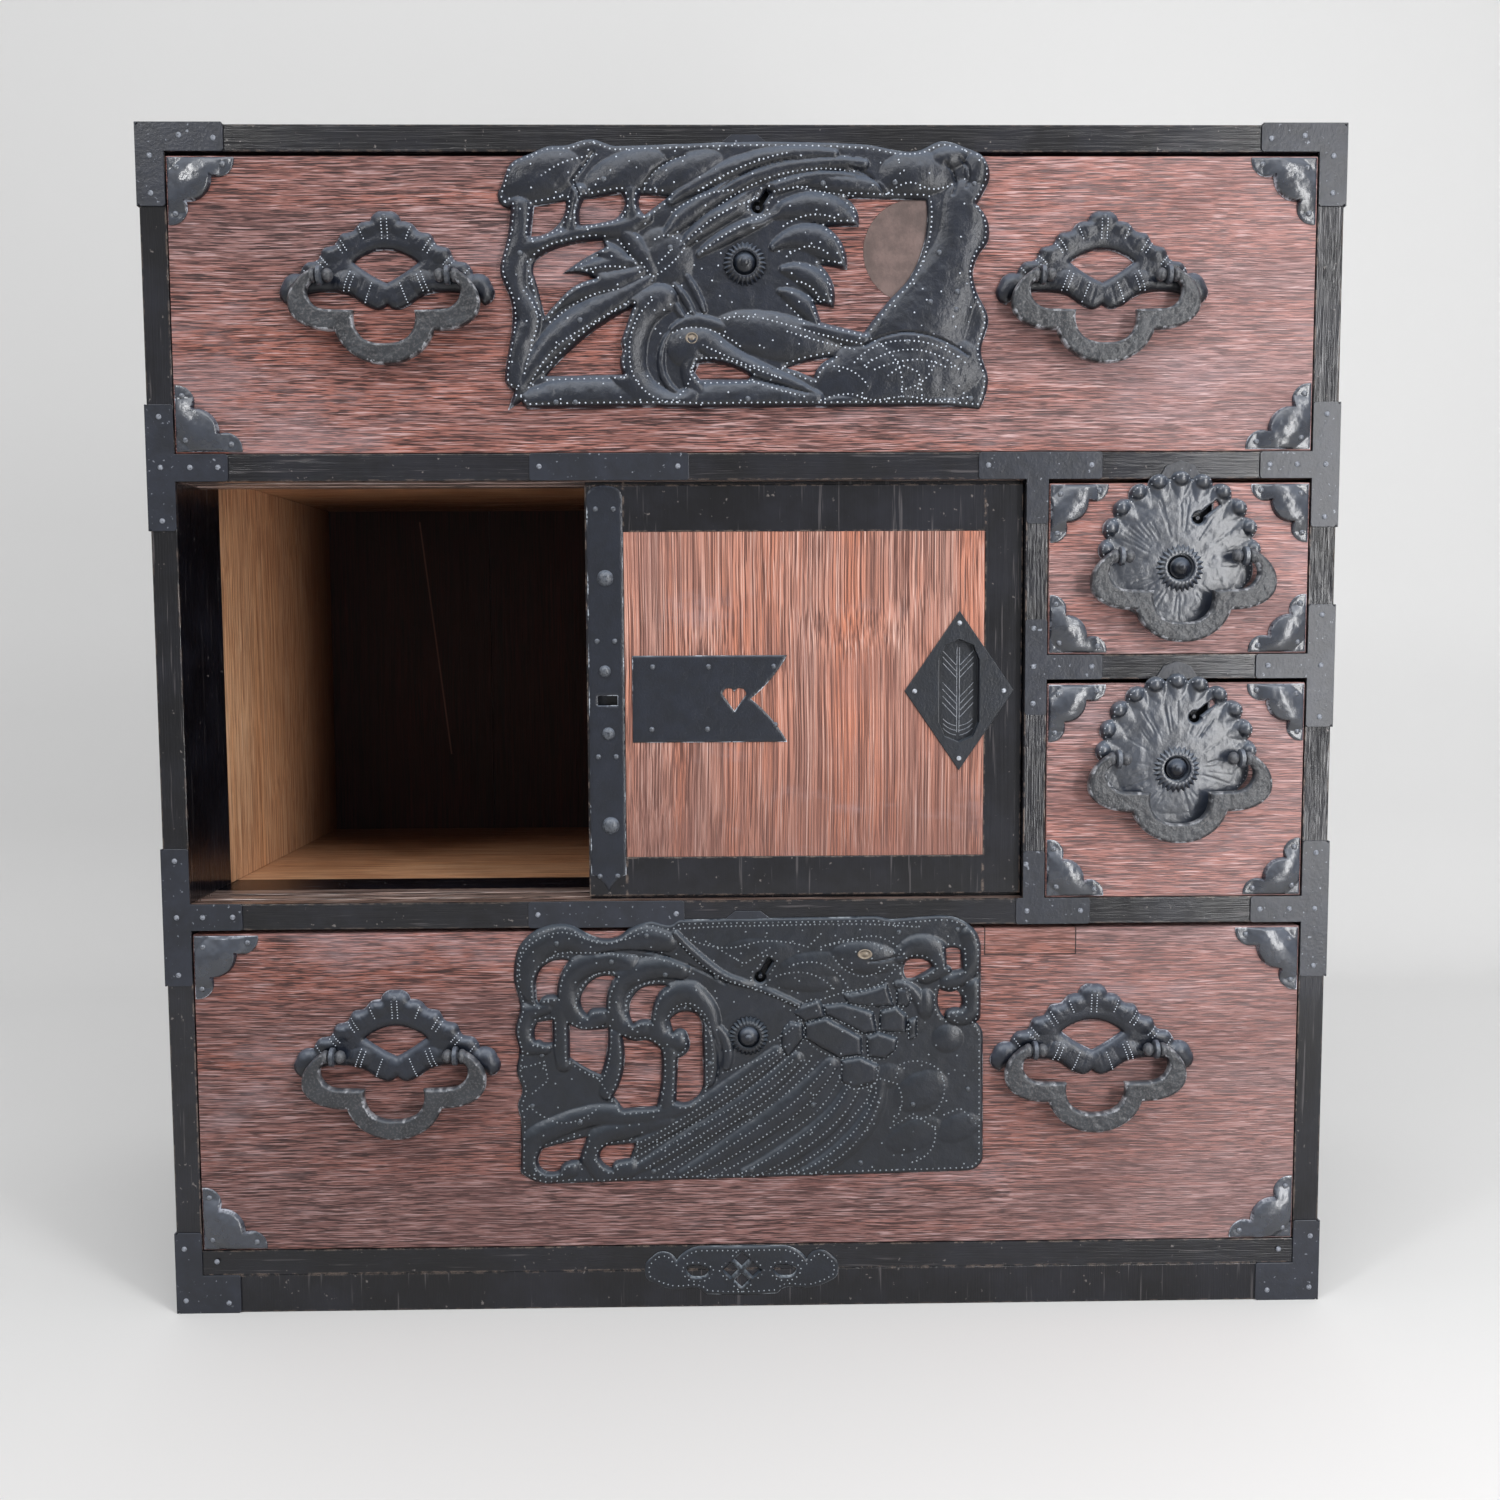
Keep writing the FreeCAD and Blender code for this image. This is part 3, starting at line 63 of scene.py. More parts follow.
FRONT = node_box("side_left")[1]
CASE = node_box("side_left")[:3] + node_box("side_right")[3:]
SIDE_T = 19.0             # side boards
PLATE_T = 2.2             # packed lock plates
IRON_T = 1.2              # packed thin irons
CLOUD_T = 2.0             # packed cloud plates
HINGE_Y = FRONT - 12.0    # axis of the handles
POST_X = 45.0             # from the middle of a handle to its posts
SMOOTH_ANGLE = 50         # edges up to this many degrees are shaded smooth


# ---- meshes --------------------------------------------------------------------
class Pile:
    """Vertices, faces and wear-and-glint values of one piece, gathered form by form: rubbed wear, with a painted glint
    on sheet edges and punch marks.
    """

    def __init__(self):
        self.points, self.faces, self.wear_and_glint = [], [], []
        self.count = 0

    def add(self, points, faces, wear_and_glint=0.5):
        points = np.asarray(points, float).reshape(-1, 3)
        self.points.append(points)
        self.faces.extend([tuple(int(i) + self.count for i in face) for face in faces])
        self.wear_and_glint.append(np.broadcast_to(np.asarray(wear_and_glint, float), len(points)))
        self.count += len(points)

    def piece(self, name, body, material, slot, replaces=()):
        mesh = bpy.data.meshes.new(name)
        points = np.concatenate(self.points) * MM
        mesh.from_pydata(points.tolist(), [], self.faces)
        mesh.validate()
        wear_and_glint = mesh.attributes.new("wear_and_glint", "FLOAT", "POINT")
        wear_and_glint.data.foreach_set("value", np.concatenate(self.wear_and_glint).astype(np.float32))
        mesh.shade_smooth()
        mesh.set_sharp_from_angle(angle=math.radians(SMOOTH_ANGLE))
        piece = bpy.data.objects.new(name, mesh)
        bpy.context.scene.collection.objects.link(piece)
        mesh.materials.append(material)
        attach(piece, body)
        if replaces:
            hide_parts(*replaces)


STRAIGHT_RATIO = 2.6      # a run this much longer than its neighbour stays straight


def mirrored(way, run):
    """The direction at one end of an arc, from the one at its other end and the run between."""
    return 2 * (way[:2] @ run[:2]) * run - way


def smooth_path(points, step, closed=True, corner=52.0):
    """Points every step along a path, curved through all points but sharp corners."""
    points = np.asarray(points, float)
    count = len(points)
    before = np.roll(points, 1, 0)
    after = np.roll(points, -1, 0)
    if not closed:
        before[0] = points[0]
        after[-1] = points[-1]
    into, out = points - before, after - points
    into_l = np.maximum(np.linalg.norm(into[:, :2], axis=1), 1e-9)
    out_l = np.maximum(np.linalg.norm(out[:, :2], axis=1), 1e-9)
    cosine = (into[:, :2] * out[:, :2]).sum(1) / (into_l * out_l)
    sharp = cosine < math.cos(math.radians(corner))
    if not closed:
        sharp[0] = sharp[-1] = True
    into_way, out_way = into / into_l[:, None], out / out_l[:, None]
    share = (into_l / (into_l + out_l))[:, None]
    tangent = into_way * (1 - share) + out_way * share
    longer = np.maximum(into_l, out_l) > STRAIGHT_RATIO * np.minimum(into_l, out_l)
    along_out = (longer & (out_l > into_l))[:, None]
    along_in = (longer & (out_l <= into_l))[:, None]
    tangent = np.where(along_out, out_way, np.where(along_in, into_way, tangent))
    path = []
    for i in range(count if closed else count - 1):
        j = (i + 1) % count
        length = out_l[i]
        run = out[i] / length
        start = mirrored(tangent[j], run) if sharp[i] else tangent[i]
        end = mirrored(tangent[i], run) if sharp[j] else tangent[j]
        if sharp[i] and sharp[j]:
            start = end = run
        pieces = max(1, int(round(length / step)))
        t = (np.arange(pieces) / pieces)[:, None]
        path.append((2 * t ** 3 - 3 * t ** 2 + 1) * points[i]
                    + (t ** 3 - 2 * t ** 2 + t) * length * start
                    + (3 * t ** 2 - 2 * t ** 3) * points[j]
                    + (t ** 3 - t ** 2) * length * end)
    if not closed:
        path.append(points[-1:])
    return np.concatenate(path)


def area(ring):
    x, z = ring[:, 0], ring[:, 1]
    return 0.5 * float((x * np.roll(z, -1) - np.roll(x, -1) * z).sum())


def inside(points, rings):
    """True for points inside an odd number of rings."""
    odd = np.zeros(len(points), bool)
    for ring in rings:
        low, high = ring.min(0), ring.max(0)
        near = np.flatnonzero(((points > low) & (points < high)).all(1))
        x, z = points[near].T
        flips = np.zeros(len(near), bool)
        for (x0, z0), (x1, z1) in zip(ring, np.roll(ring, -1, 0)):
            if z0 == z1:
                continue
            crosses = (z0 > z) != (z1 > z)
            flips ^= crosses & (x < (x1 - x0) * (z - z0) / (z1 - z0) + x0)
        odd[near] ^= flips
    return odd


def node_loops(node, y):
    """Outlines of a node's iron at the plane y, where its walls leave backwards."""
    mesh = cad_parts[node].data
    mesh.calc_loop_triangles()
    points = np.array([v.co for v in mesh.vertices]) / MM
    keys, weld = np.unique(np.round(points, 2), axis=0, return_inverse=True)
    weld = weld.reshape(-1)
    thirds = {}
    for triangle in mesh.loop_triangles:
        a, b, c = (int(weld[i]) for i in triangle.vertices)
        for one, two, third in ((a, b, c), (b, c, a), (c, a, b)):
            thirds.setdefault((min(one, two), max(one, two)), []).append(third)
    nexts = {}
    for (one, two), others in thirds.items():
        if abs(keys[one][1] - y) > 0.03 or abs(keys[two][1] - y) > 0.03 or one == two:
            continue
        if any(keys[third][1] > y + 0.1 for third in others):
            nexts.setdefault(one, []).append(two)
            nexts.setdefault(two, []).append(one)
    loops = []
    seen = set()
    for start in nexts:
        if start in seen or len(nexts[start]) != 2:
            continue
        loop, last, here = [start], start, nexts[start][0]
        while here != start and here not in seen and len(nexts[here]) == 2:
            loop.append(here)
            seen.add(here)
            forward = [n for n in nexts[here] if n != last]
            last, here = here, forward[0] if forward else start
        seen.add(start)
        if here == start and len(loop) > 2:
            loops.append(keys[loop][:, [0, 2]])
    return loops


def drop_straight(loop):
    """A loop without the points in the middle of straight runs."""
    into = loop - np.roll(loop, 1, 0)
    out = np.roll(loop, -1, 0) - loop
    turn = np.abs(into[:, 0] * out[:, 1] - into[:, 1] * out[:, 0])
    lengths = np.linalg.norm(into, axis=1) * np.linalg.norm(out, axis=1)
    return loop[turn > 0.02 * lengths]


def sheets_of(loops):
    """Loops grouped as [outer, hole, hole ...]."""
    loops = [loop if area(loop) > 0 else loop[::-1] for loop in loops]
    loops.sort(key=area, reverse=True)
    groups = []
    for loop in loops:
        for group in groups:
            if inside(loop[:1], [group[0]])[0]:
                group.append(loop)
                break
        else:
            groups.append([loop])
    return groups


def triangulate(rings, extra):
    """Triangles that fill the rings, through the extra points. Returns points, faces, ring order."""
    points = np.concatenate(rings + [extra]) if len(extra) else np.concatenate(rings)
    edges, start = [], 0
    for ring in rings:
        n = len(ring)
        edges += [(start + i, start + (i + 1) % n) for i in range(n)]
        start += n
    got, _, faces, origins, _, _ = geometry.delaunay_2d_cdt(
        [Vector(p) for p in points], edges, [], 0, 1e-4)
    got = np.array([(p.x, p.y) for p in got])
    place = np.zeros(len(points), int)
    for new, olds in enumerate(origins):
        for old in olds:
            place[old] = new
    faces = np.array([f for f in faces if len(f) == 3])
    middle = got[faces].mean(1)
    return got, faces[inside(middle, rings)], place


ROW = 0.866               # height of an even triangle over its side


class Nearest:
    """Distance to a cloud of points."""

    def __init__(self, points):
        self.tree = kdtree.KDTree(len(points))
        for i, (u, v) in enumerate(points):
            self.tree.insert((u, v, 0), i)
        self.tree.balance()

    def __call__(self, points):
        return np.array([self.tree.find((u, v, 0))[2] for u, v in points])


def lattice(points, size, seed):
    """Smooth noise from -1 to 1, with features of the given size."""
    table = np.random.default_rng(seed).uniform(-1, 1, (64, 64))
    p = points / size
    cell = np.floor(p).astype(int)
    t = p - cell
    t = t * t * (3 - 2 * t)
    x, z = cell[:, 0] % 64, cell[:, 1] % 64
    x1, z1 = (x + 1) % 64, (z + 1) % 64
    low = table[x, z] * (1 - t[:, 0]) + table[x1, z] * t[:, 0]
    high = table[x, z1] * (1 - t[:, 0]) + table[x1, z1] * t[:, 0]
    return low * (1 - t[:, 1]) + high * t[:, 1]


class Relief:
    """Chased relief over a sheet: swells, ridges and grooves, in millimetres."""

    def __init__(self, base, origin=(0, 0), hammer=0.12, seed=3):
        self.base, self.origin = base, np.array(origin, float)
        self.hammer, self.seed = hammer, seed
        self.swells, self.ridges, self.grooves = [], [], []
        self.plates, self.flats = [], []

    def swell(self, u, v, ru, rv, height, turn=0.0, fall=1.0):
        self.swells.append((u, v, ru, rv, height, math.radians(turn), fall))

    def ridge(self, points, height):
        self.ridges.append((smooth_path(points, 4.0, closed=False), height))

    def groove(self, points, depth):
        self.grooves.append((smooth_path(points, 4.0, closed=False), depth))

    @staticmethod
    def _near(points, path, reach):
        """Which points lie near a stroke, and the stroke's widest half width."""
        widest = path[:, 2].max()
        low, high = path[:, :2].min(0) - reach * widest, path[:, :2].max(0) + reach * widest
        return np.flatnonzero(((points > low) & (points < high)).all(1)), widest

    @staticmethod
    def _along(points, path):
        """Share of the half width left at each point, and the half width there."""
        best = np.full(len(points), np.inf)
        width = np.ones(len(points))
        for a, b in zip(path[:-1], path[1:]):
            run = b[:2] - a[:2]
            t = np.clip(((points - a[:2]) @ run) / max(float(run @ run), 1e-9), 0, 1)
            half = a[2] + (b[2] - a[2]) * t
            share = np.linalg.norm(points - a[:2] - t[:, None] * run, axis=1) / half
            closer = share < best
            best[closer] = share[closer]
            width[closer] = half[closer]
        return best, width

    def __call__(self, points):
        local = points - self.origin
        raised = np.zeros(len(points))
        for u, v, ru, rv, height, turn, fall in self.swells:
            d = local - (u, v)
            c, s = math.cos(turn), math.sin(turn)
            r2 = ((d[:, 0] * c + d[:, 1] * s) / ru) ** 2 + ((d[:, 1] * c - d[:, 0] * s) / rv) ** 2
            form = height * np.maximum(0, 1 - r2) ** fall
            raised = np.maximum(raised, form)
        for ring, height, slope in self.plates:
            near = np.flatnonzero(inside(local, [ring]))
            if len(near):
                rise = np.clip(Nearest(smooth_path(ring, 1.0, corner=20))(local[near]) / slope, 0, 1)
                raised[near] = np.maximum(raised[near], height * np.sqrt(1 - (1 - rise) ** 2))
        for path, height in self.ridges:
            near, widest = self._near(local, path, 1)
            if len(near):
                share, half = self._along(local[near], path)
                form = height * np.maximum(0, 1 - share ** 2) ** 0.8 * np.sqrt(half / widest)
                raised[near] = np.maximum(raised[near], form)
        for path, depth in self.grooves:
            near, _ = self._near(local, path, 2)
            if len(near):
                share, _ = self._along(local[near], path)
                raised[near] -= depth * np.exp(-share ** 2 * 1.5)
        for u, v, radius in self.flats:
            away = np.linalg.norm(local - (u, v), axis=1) / radius
            raised *= np.clip(2 * away - 1, 0, 1)
        uneven = self.hammer * (lattice(points, 7.0, self.seed) + 0.6 * lattice(points, 3.1, self.seed + 1))
        return self.base + raised + uneven


def filling(rings, near, step):
    """Points of a grid of triangles inside the rings, clear of their edges."""
    low, high = rings[0].min(0), rings[0].max(0)
    rows, columns = int((high[1] - low[1]) / (step * ROW)), int((high[0] - low[0]) / step)
    grid = np.array([(low[0] + (i + 0.5 * (j % 2)) * step, low[1] + j * step * ROW)
                     for j in range(1, rows + 1) for i in range(columns + 1)])
    grid = grid[inside(grid, rings)]
    return grid[near(grid) > 0.6 * step] if len(grid) else grid.reshape(0, 2)


def rounded(height, distance, rim, radius):
    """Height of a sheet that rolls over towards its edges."""
    t = np.clip(distance / radius, 0, 1)
    return rim + (height - rim) * np.sqrt(1 - (1 - t) ** 2)


def iron_sheet(pile, group, back_y, relief, step=1.1, rim=0.5, radius=2.0, wear_gain=1.0):
    """Closed sheet with a worked front. Returns a function for the front's height."""
    rings = []
    for k, loop in enumerate(group):
        ring = smooth_path(drop_straight(loop), step)
        rings.append(ring if (area(ring) > 0) == (k == 0) else ring[::-1])
    near = Nearest(np.concatenate(rings))

    def height(points):
        return rounded(relief(points), near(points), rim, radius)

    flat, faces, place = triangulate(rings, filling(rings, near, step))
    edge = place[:sum(len(ring) for ring in rings)]
    tall = height(flat)
    tall[edge] = rim

    def neighbours(values):
        total = np.zeros(len(flat))
        for one in range(3):
            for two in range(3):
                if one != two:
                    np.add.at(total, faces[:, one], values[faces[:, two]])
        return total

    times = np.maximum(neighbours(np.ones(len(flat))), 1)
    mean = tall
    for _ in range(3):
        mean = neighbours(mean) / times
    wear_and_glint = np.clip(0.25 + wear_gain * (tall - mean) * 0.6, 0, 0.6)
    # Sheet edges carry a broken bright line: partly rubbed wear, partly a painted highlight.
    wear_and_glint[edge] = np.clip(0.60 + 0.5 * lattice(flat[edge], 9.0, 31), 0, 1)
    count = len(flat)
    front = np.stack([flat[:, 0], back_y - tall, flat[:, 1]], 1)
    back_points, back_faces, back_place = triangulate(rings, np.zeros((0, 2)))
    back = np.stack([back_points[:, 0], np.full(len(back_points), back_y), back_points[:, 1]], 1)
    walls, start = [], 0
    for ring in rings:
        n = len(ring)
        for i in range(n):
            a, b = start + i, start + (i + 1) % n
            walls.append((place[a], count + back_place[a], count + back_place[b], place[b]))
        start += n
    pile.add(np.concatenate([front, back]),
             list(faces) + [(f[0] + count, f[2] + count, f[1] + count) for f in back_faces] + walls,
             np.concatenate([wear_and_glint, np.full(len(back), 0.3)]))
    return height, rings, near


def bands(rows, sides, loop=False):
    """Quads between rings of points. In a loop the last ring joins the first."""
    joins = [(row, (row + 1) % rows) for row in range(rows if loop else rows - 1)]
    return [(one * sides + k, one * sides + (k + 1) % sides, two * sides + (k + 1) % sides, two * sides + k)
            for one, two in joins for k in range(sides)]


def turned(pile, profile, centre, axis, sides=20, wear_and_glint=0.5):
    """Form of revolution. The profile is (radius, place along the axis)."""
    axis = Vector(axis).normalized()
    side = axis.orthogonal().normalized()
    other = axis.cross(side)
    points, faces, worn = [], [], []
    rows = []
    for radius, place in profile:
        middle = Vector(centre) + axis * place
        if radius < 1e-6:
            rows.append([len(points)])
            points.append(middle)
            continue
        rows.append(list(range(len(points), len(points) + sides)))
        for k in range(sides):
            angle = 2 * math.pi * k / sides
            points.append(middle + side * (radius * math.cos(angle)) + other * (radius * math.sin(angle)))
    for one, two in zip(rows[:-1], rows[1:]):
        for k in range(sides):
            a, b = one[k % len(one)], one[(k + 1) % len(one)]
            c, d = two[(k + 1) % len(two)], two[k % len(two)]
            faces.append(tuple(dict.fromkeys((a, b, c, d))))
    if len(rows[0]) > 1:
        faces.append(tuple(reversed(rows[0])))
    if len(rows[-1]) > 1:
        faces.append(tuple(rows[-1]))
    pile.add([tuple(p) for p in points], faces, wear_and_glint)


def dome(pile, x, y, z, radius, height, sides=8, wear_and_glint=0.9, sink=0.3):
    """Round head with its foot let into what carries it."""
    profile = [(radius, -sink), (radius, 0.15 * height), (0.72 * radius, 0.72 * height), (0, height)]
    turned(pile, profile, (x, y, z), (0, -1, 0), sides, wear_and_glint)


def dot_line(points, pitch):
    """Evenly spaced points along a smooth open path."""
    path = smooth_path(points, 0.5, closed=False)
    lengths = np.concatenate([[0], np.cumsum(np.linalg.norm(np.diff(path[:, :2], axis=0), axis=1))])
    count = max(2, int(round(lengths[-1] / pitch)))
    at = np.linspace(0, lengths[-1], count + 1)
    return np.stack([np.interp(at, lengths, path[:, k]) for k in (0, 1)], 1)


def inset_dots(rings, near, inset, pitch):
    """Points along every edge of a sheet, inset from it."""
    found = []
    for ring in rings:
        if len(ring) < 12:
            continue
        along = np.roll(ring, -1, 0) - np.roll(ring, 1, 0)
        along /= np.maximum(np.linalg.norm(along, axis=1), 1e-9)[:, None]
        moved = ring + np.stack([-along[:, 1], along[:, 0]], 1) * inset
        moved = moved[near(moved) > inset * 0.93]
        last = None
        for point in moved:
            if last is None or np.linalg.norm(point - last) >= pitch:
                found.append(point)
                last = point
    return np.array(found)


def stipple(ring, pitch):
    """Loose scatter of points over an outline."""
    draw = np.random.default_rng(23)
    low, high = ring.min(0), ring.max(0)
    steps = np.maximum(1, ((high - low) / pitch).astype(int))
    spots = np.array([(i + 0.5, j + 0.5) for i in range(steps[0]) for j in range(steps[1])])
    spots = low + (spots + draw.uniform(-0.5, 0.5, spots.shape)) * pitch
    return spots[draw.random(len(spots)) < 0.25]


def punch(pile, points, height, back_y, radius=0.75, lift=0.5, wear_and_glint=1.0):
    """Small raised punch marks over a sheet, set bright through a high wear value: rubbed wear, and partly a painted
    glint.
    """
    if not len(points):
        return
    profile = [(radius, -0.25), (radius * 0.85, 0.55 * lift), (0, lift)]
    for (x, z), h in zip(points, height(points)):
        turned(pile, profile, (x, back_y - h, z), (0, -1, 0), 6, wear_and_glint)


def nail_heads(pile, spots, height, back_y, radius=2.1, rise=1.3):
    """Round nail heads over a sheet."""
    for (x, z), h in zip(spots, height(spots) if len(spots) else ()):
        dome(pile, x, back_y - h, z, radius, rise, 12, 0.62)


def rib(pile, points, radius, y, wear_and_glint=0.9):
    """Thin raised line that lies on a face at y."""
    path = smooth_path(points, 1.5, closed=False)
    along = np.gradient(path, axis=0)
    along /= np.linalg.norm(along, axis=1)[:, None]
    side = np.stack([-along[:, 1], along[:, 0]], 1)
    section = [(-1, 0.25), (-0.8, -0.5), (0, -0.8), (0.8, -0.5), (1, 0.25)]
    rows = [[(px + sx * a * radius, y + b * radius, pz + sz * a * radius) for a, b in section]
            for (px, pz), (sx, sz) in zip(path, side)]
    wide = len(section)
    faces = [face[::-1] for face in bands(len(rows), wide)]
    last = (len(rows) - 1) * wide
    faces += [tuple(range(wide)), tuple(last + k for k in reversed(range(wide)))]
    pile.add(np.array(rows).reshape(-1, 3), faces, wear_and_glint)


# ---- materials -----------------------------------------------------------------
def srgb(red, green, blue):
    return tuple((c / 255 / 12.92 if c < 11 else ((c / 255 + 0.055) / 1.055) ** 2.4)
                 for c in (red, green, blue)) + (1.0,)


class Shader:
    """A material's nodes, built with short calls."""

    def __init__(self, name):
        self.material = bpy.data.materials.new(name)
        self.material.use_nodes = True
        self.tree = self.material.node_tree
        self.bsdf = self.tree.nodes["Principled BSDF"]
        self.place = self.node("ShaderNodeTexCoord").outputs["Object"]

    def node(self, kind, inputs=None, **settings):
        node = self.tree.nodes.new(kind)
        for key, value in settings.items():
            setattr(node, key, value)
        for key, value in (inputs or {}).items():
            self.put(node.inputs[key], value)
        return node

    def put(self, socket, value):
        if isinstance(value, bpy.types.NodeSocket):
            self.tree.links.new(value, socket)
        else:
            socket.default_value = value

    def scaled(self, x, y, z):
        return self.node("ShaderNodeMapping", {"Vector": self.place, "Scale": (x, y, z)}).outputs[0]

    def grained(self, axis, along, across):
        """Coordinates with features drawn out along an axis, wandering a little."""
        drift = self.node("ShaderNodeTexNoise", {"Vector": self.place, "Scale": 6.0}).outputs["Color"]
        moved = self.node("ShaderNodeVectorMath", {0: drift, 1: (0.006,) * 3, 2: self.place},
                          operation="MULTIPLY_ADD").outputs[0]
        scale = [across] * 3
        scale[axis] = along
        return self.node("ShaderNodeMapping", {"Vector": moved, "Scale": scale}).outputs[0]

    def noise(self, vector, detail=3.0, rough=0.55):
        return self.node("ShaderNodeTexNoise", {
            "Vector": vector, "Scale": 1.0, "Detail": detail, "Roughness": rough}).outputs["Fac"]

    def ramp(self, value, low, high, top=1.0):
        return self.node("ShaderNodeMapRange", {
            "Value": value, "From Min": low, "From Max": high, "To Max": top},
            interpolation_type="SMOOTHSTEP").outputs[0]

    def between(self, value, low, high):
        return self.node("ShaderNodeMapRange", {"Value": value, "To Min": low, "To Max": high}).outputs[0]

    def math(self, operation, one, two=0.0):
        return self.node("ShaderNodeMath", {0: one, 1: two}, operation=operation).outputs[0]

    def mix(self, factor, one, two):
        node = self.node("ShaderNodeMix", data_type="RGBA")
        for index, value in ((0, factor), (6, one), (7, two)):
            self.put(node.inputs[index], value)
        return node.outputs[2]

    def bump(self, height, distance, strength=1.0, under=None):
        node = self.node("ShaderNodeBump", {"Height": height, "Distance": distance, "Strength": strength})
        if under is not None:
            self.put(node.inputs["Normal"], under)
        return node.outputs[0]

    def zone(self, box):
        """1 inside a box of the model, in millimetres, with None for an open side."""
        parts = self.node("ShaderNodeSeparateXYZ", {0: self.place}).outputs
        mask = None
        for axis in range(3):
            for bound, operation in ((box[axis], "GREATER_THAN"), (box[axis + 3], "LESS_THAN")):
                if bound is None:
                    continue
                test = self.math(operation, parts[axis], bound * MM)
                mask = test if mask is None else self.math("MULTIPLY", mask, test)
        return mask

    def finish(self, colour, roughness, normal=None, **constants):
        self.put(self.bsdf.inputs["Base Color"], colour)
        self.put(self.bsdf.inputs["Roughness"], roughness)
        if normal is not None:
            self.put(self.bsdf.inputs["Normal"], normal)
        for key, value in constants.items():
            self.put(self.bsdf.inputs[key.replace("_", " ")], value)
        return self.material


def grain_colour(s, axis, tones, short=1.0):
    """Long-grained wood from (line, deep, middle, warm, pale). Returns its colour and a height."""
    line, deep, middle, warm, pale = (srgb(*tone) for tone in tones)
    bands = s.noise(s.grained(axis, 1.5, 26), rough=0.6)
    streaks = s.noise(s.grained(axis, 9 * short, 300), rough=0.65)
    lines = s.noise(s.grained(axis, 34 * short, 1050), detail=2.0, rough=0.7)
    pores = s.noise(s.grained(axis, 50 * short, 1200), detail=1.0)
    colour = s.mix(s.ramp(bands, 0.34, 0.66), middle, warm)
    colour = s.mix(s.ramp(streaks, 0.50, 0.66, 0.6), colour, deep)
    colour = s.mix(s.ramp(lines, 0.46, 0.34, 0.6), colour, pale)
    colour = s.mix(s.ramp(lines, 0.52, 0.59, 0.95), colour, line)
    colour = s.mix(s.ramp(pores, 0.56, 0.62, 0.8), colour, line)
    height = s.math("SUBTRACT", s.ramp(lines, 0.66, 0.3), s.ramp(pores, 0.55, 0.68))
    return colour, height


# Tones of each wood: line, deep, middle, warm, pale.
FRONT_TONES = ((40, 20, 22), (98, 64, 62), (144, 104, 100), (160, 98, 84), (206, 176, 176))
SILL_TONES = ((24, 18, 18), (90, 74, 70), (140, 120, 114), (150, 122, 110), (220, 204, 198))
PANEL_TONES = ((88, 52, 44), (140, 96, 86), (180, 134, 120), (200, 126, 98), (222, 190, 180))
NATURAL_TONES = ((160, 108, 78), (214, 156, 116), (240, 190, 148), (240, 180, 132), (250, 222, 190))
BACK_TONES = ((14, 4, 5), (20, 6, 7), (34, 9, 10), (46, 13, 12), (58, 20, 18))
SHORT_GRAIN = 0.3         # bare boards show longer streaks


def wood(name, axis, tones, fades, patch=None, short=1.0):
    """Old oiled wood that fades lighter or darker towards some sides, with an inset piece in a given box. On the drawer
    fronts the lighter fade is a painted sheen and the darker fades are painted shade.
    """
    s = Shader(name)
    colour, height = grain_colour(s, axis, tones, short)
    # Fades towards some sides; on the drawer fronts they are painted sheen and painted shade.
    for side, start, end, share, tone in fades:
        place = s.node("ShaderNodeSeparateXYZ", {0: s.place}).outputs[side]
        colour = s.mix(s.ramp(place, start * MM, end * MM, share), colour, srgb(*tone))
    dirt = s.noise(s.scaled(7, 7, 16), 5.0, 0.62)
    colour = s.mix(s.ramp(dirt, 0.48, 0.70, 0.45), colour, srgb(*tones[1]))
    colour = s.mix(s.ramp(dirt, 0.46, 0.30, 0.35), colour, srgb(170, 146, 150))
    if patch:
        x0, z0, x1, z1 = patch
        seam = s.zone((x0, None, z0, x1, None, z1))
        piece = s.zone((x0 + 0.9, None, z0 + 0.9, x1 - 0.9, None, z1))
        colour = s.mix(seam, colour, srgb(40, 22, 22))
        colour = s.mix(piece, colour, s.mix(0.45, grain_colour(s, axis, tones)[0], srgb(132, 92, 84)))
    return s.finish(colour, s.between(height, 0.62, 0.48), s.bump(height, 0.0006, 0.8))


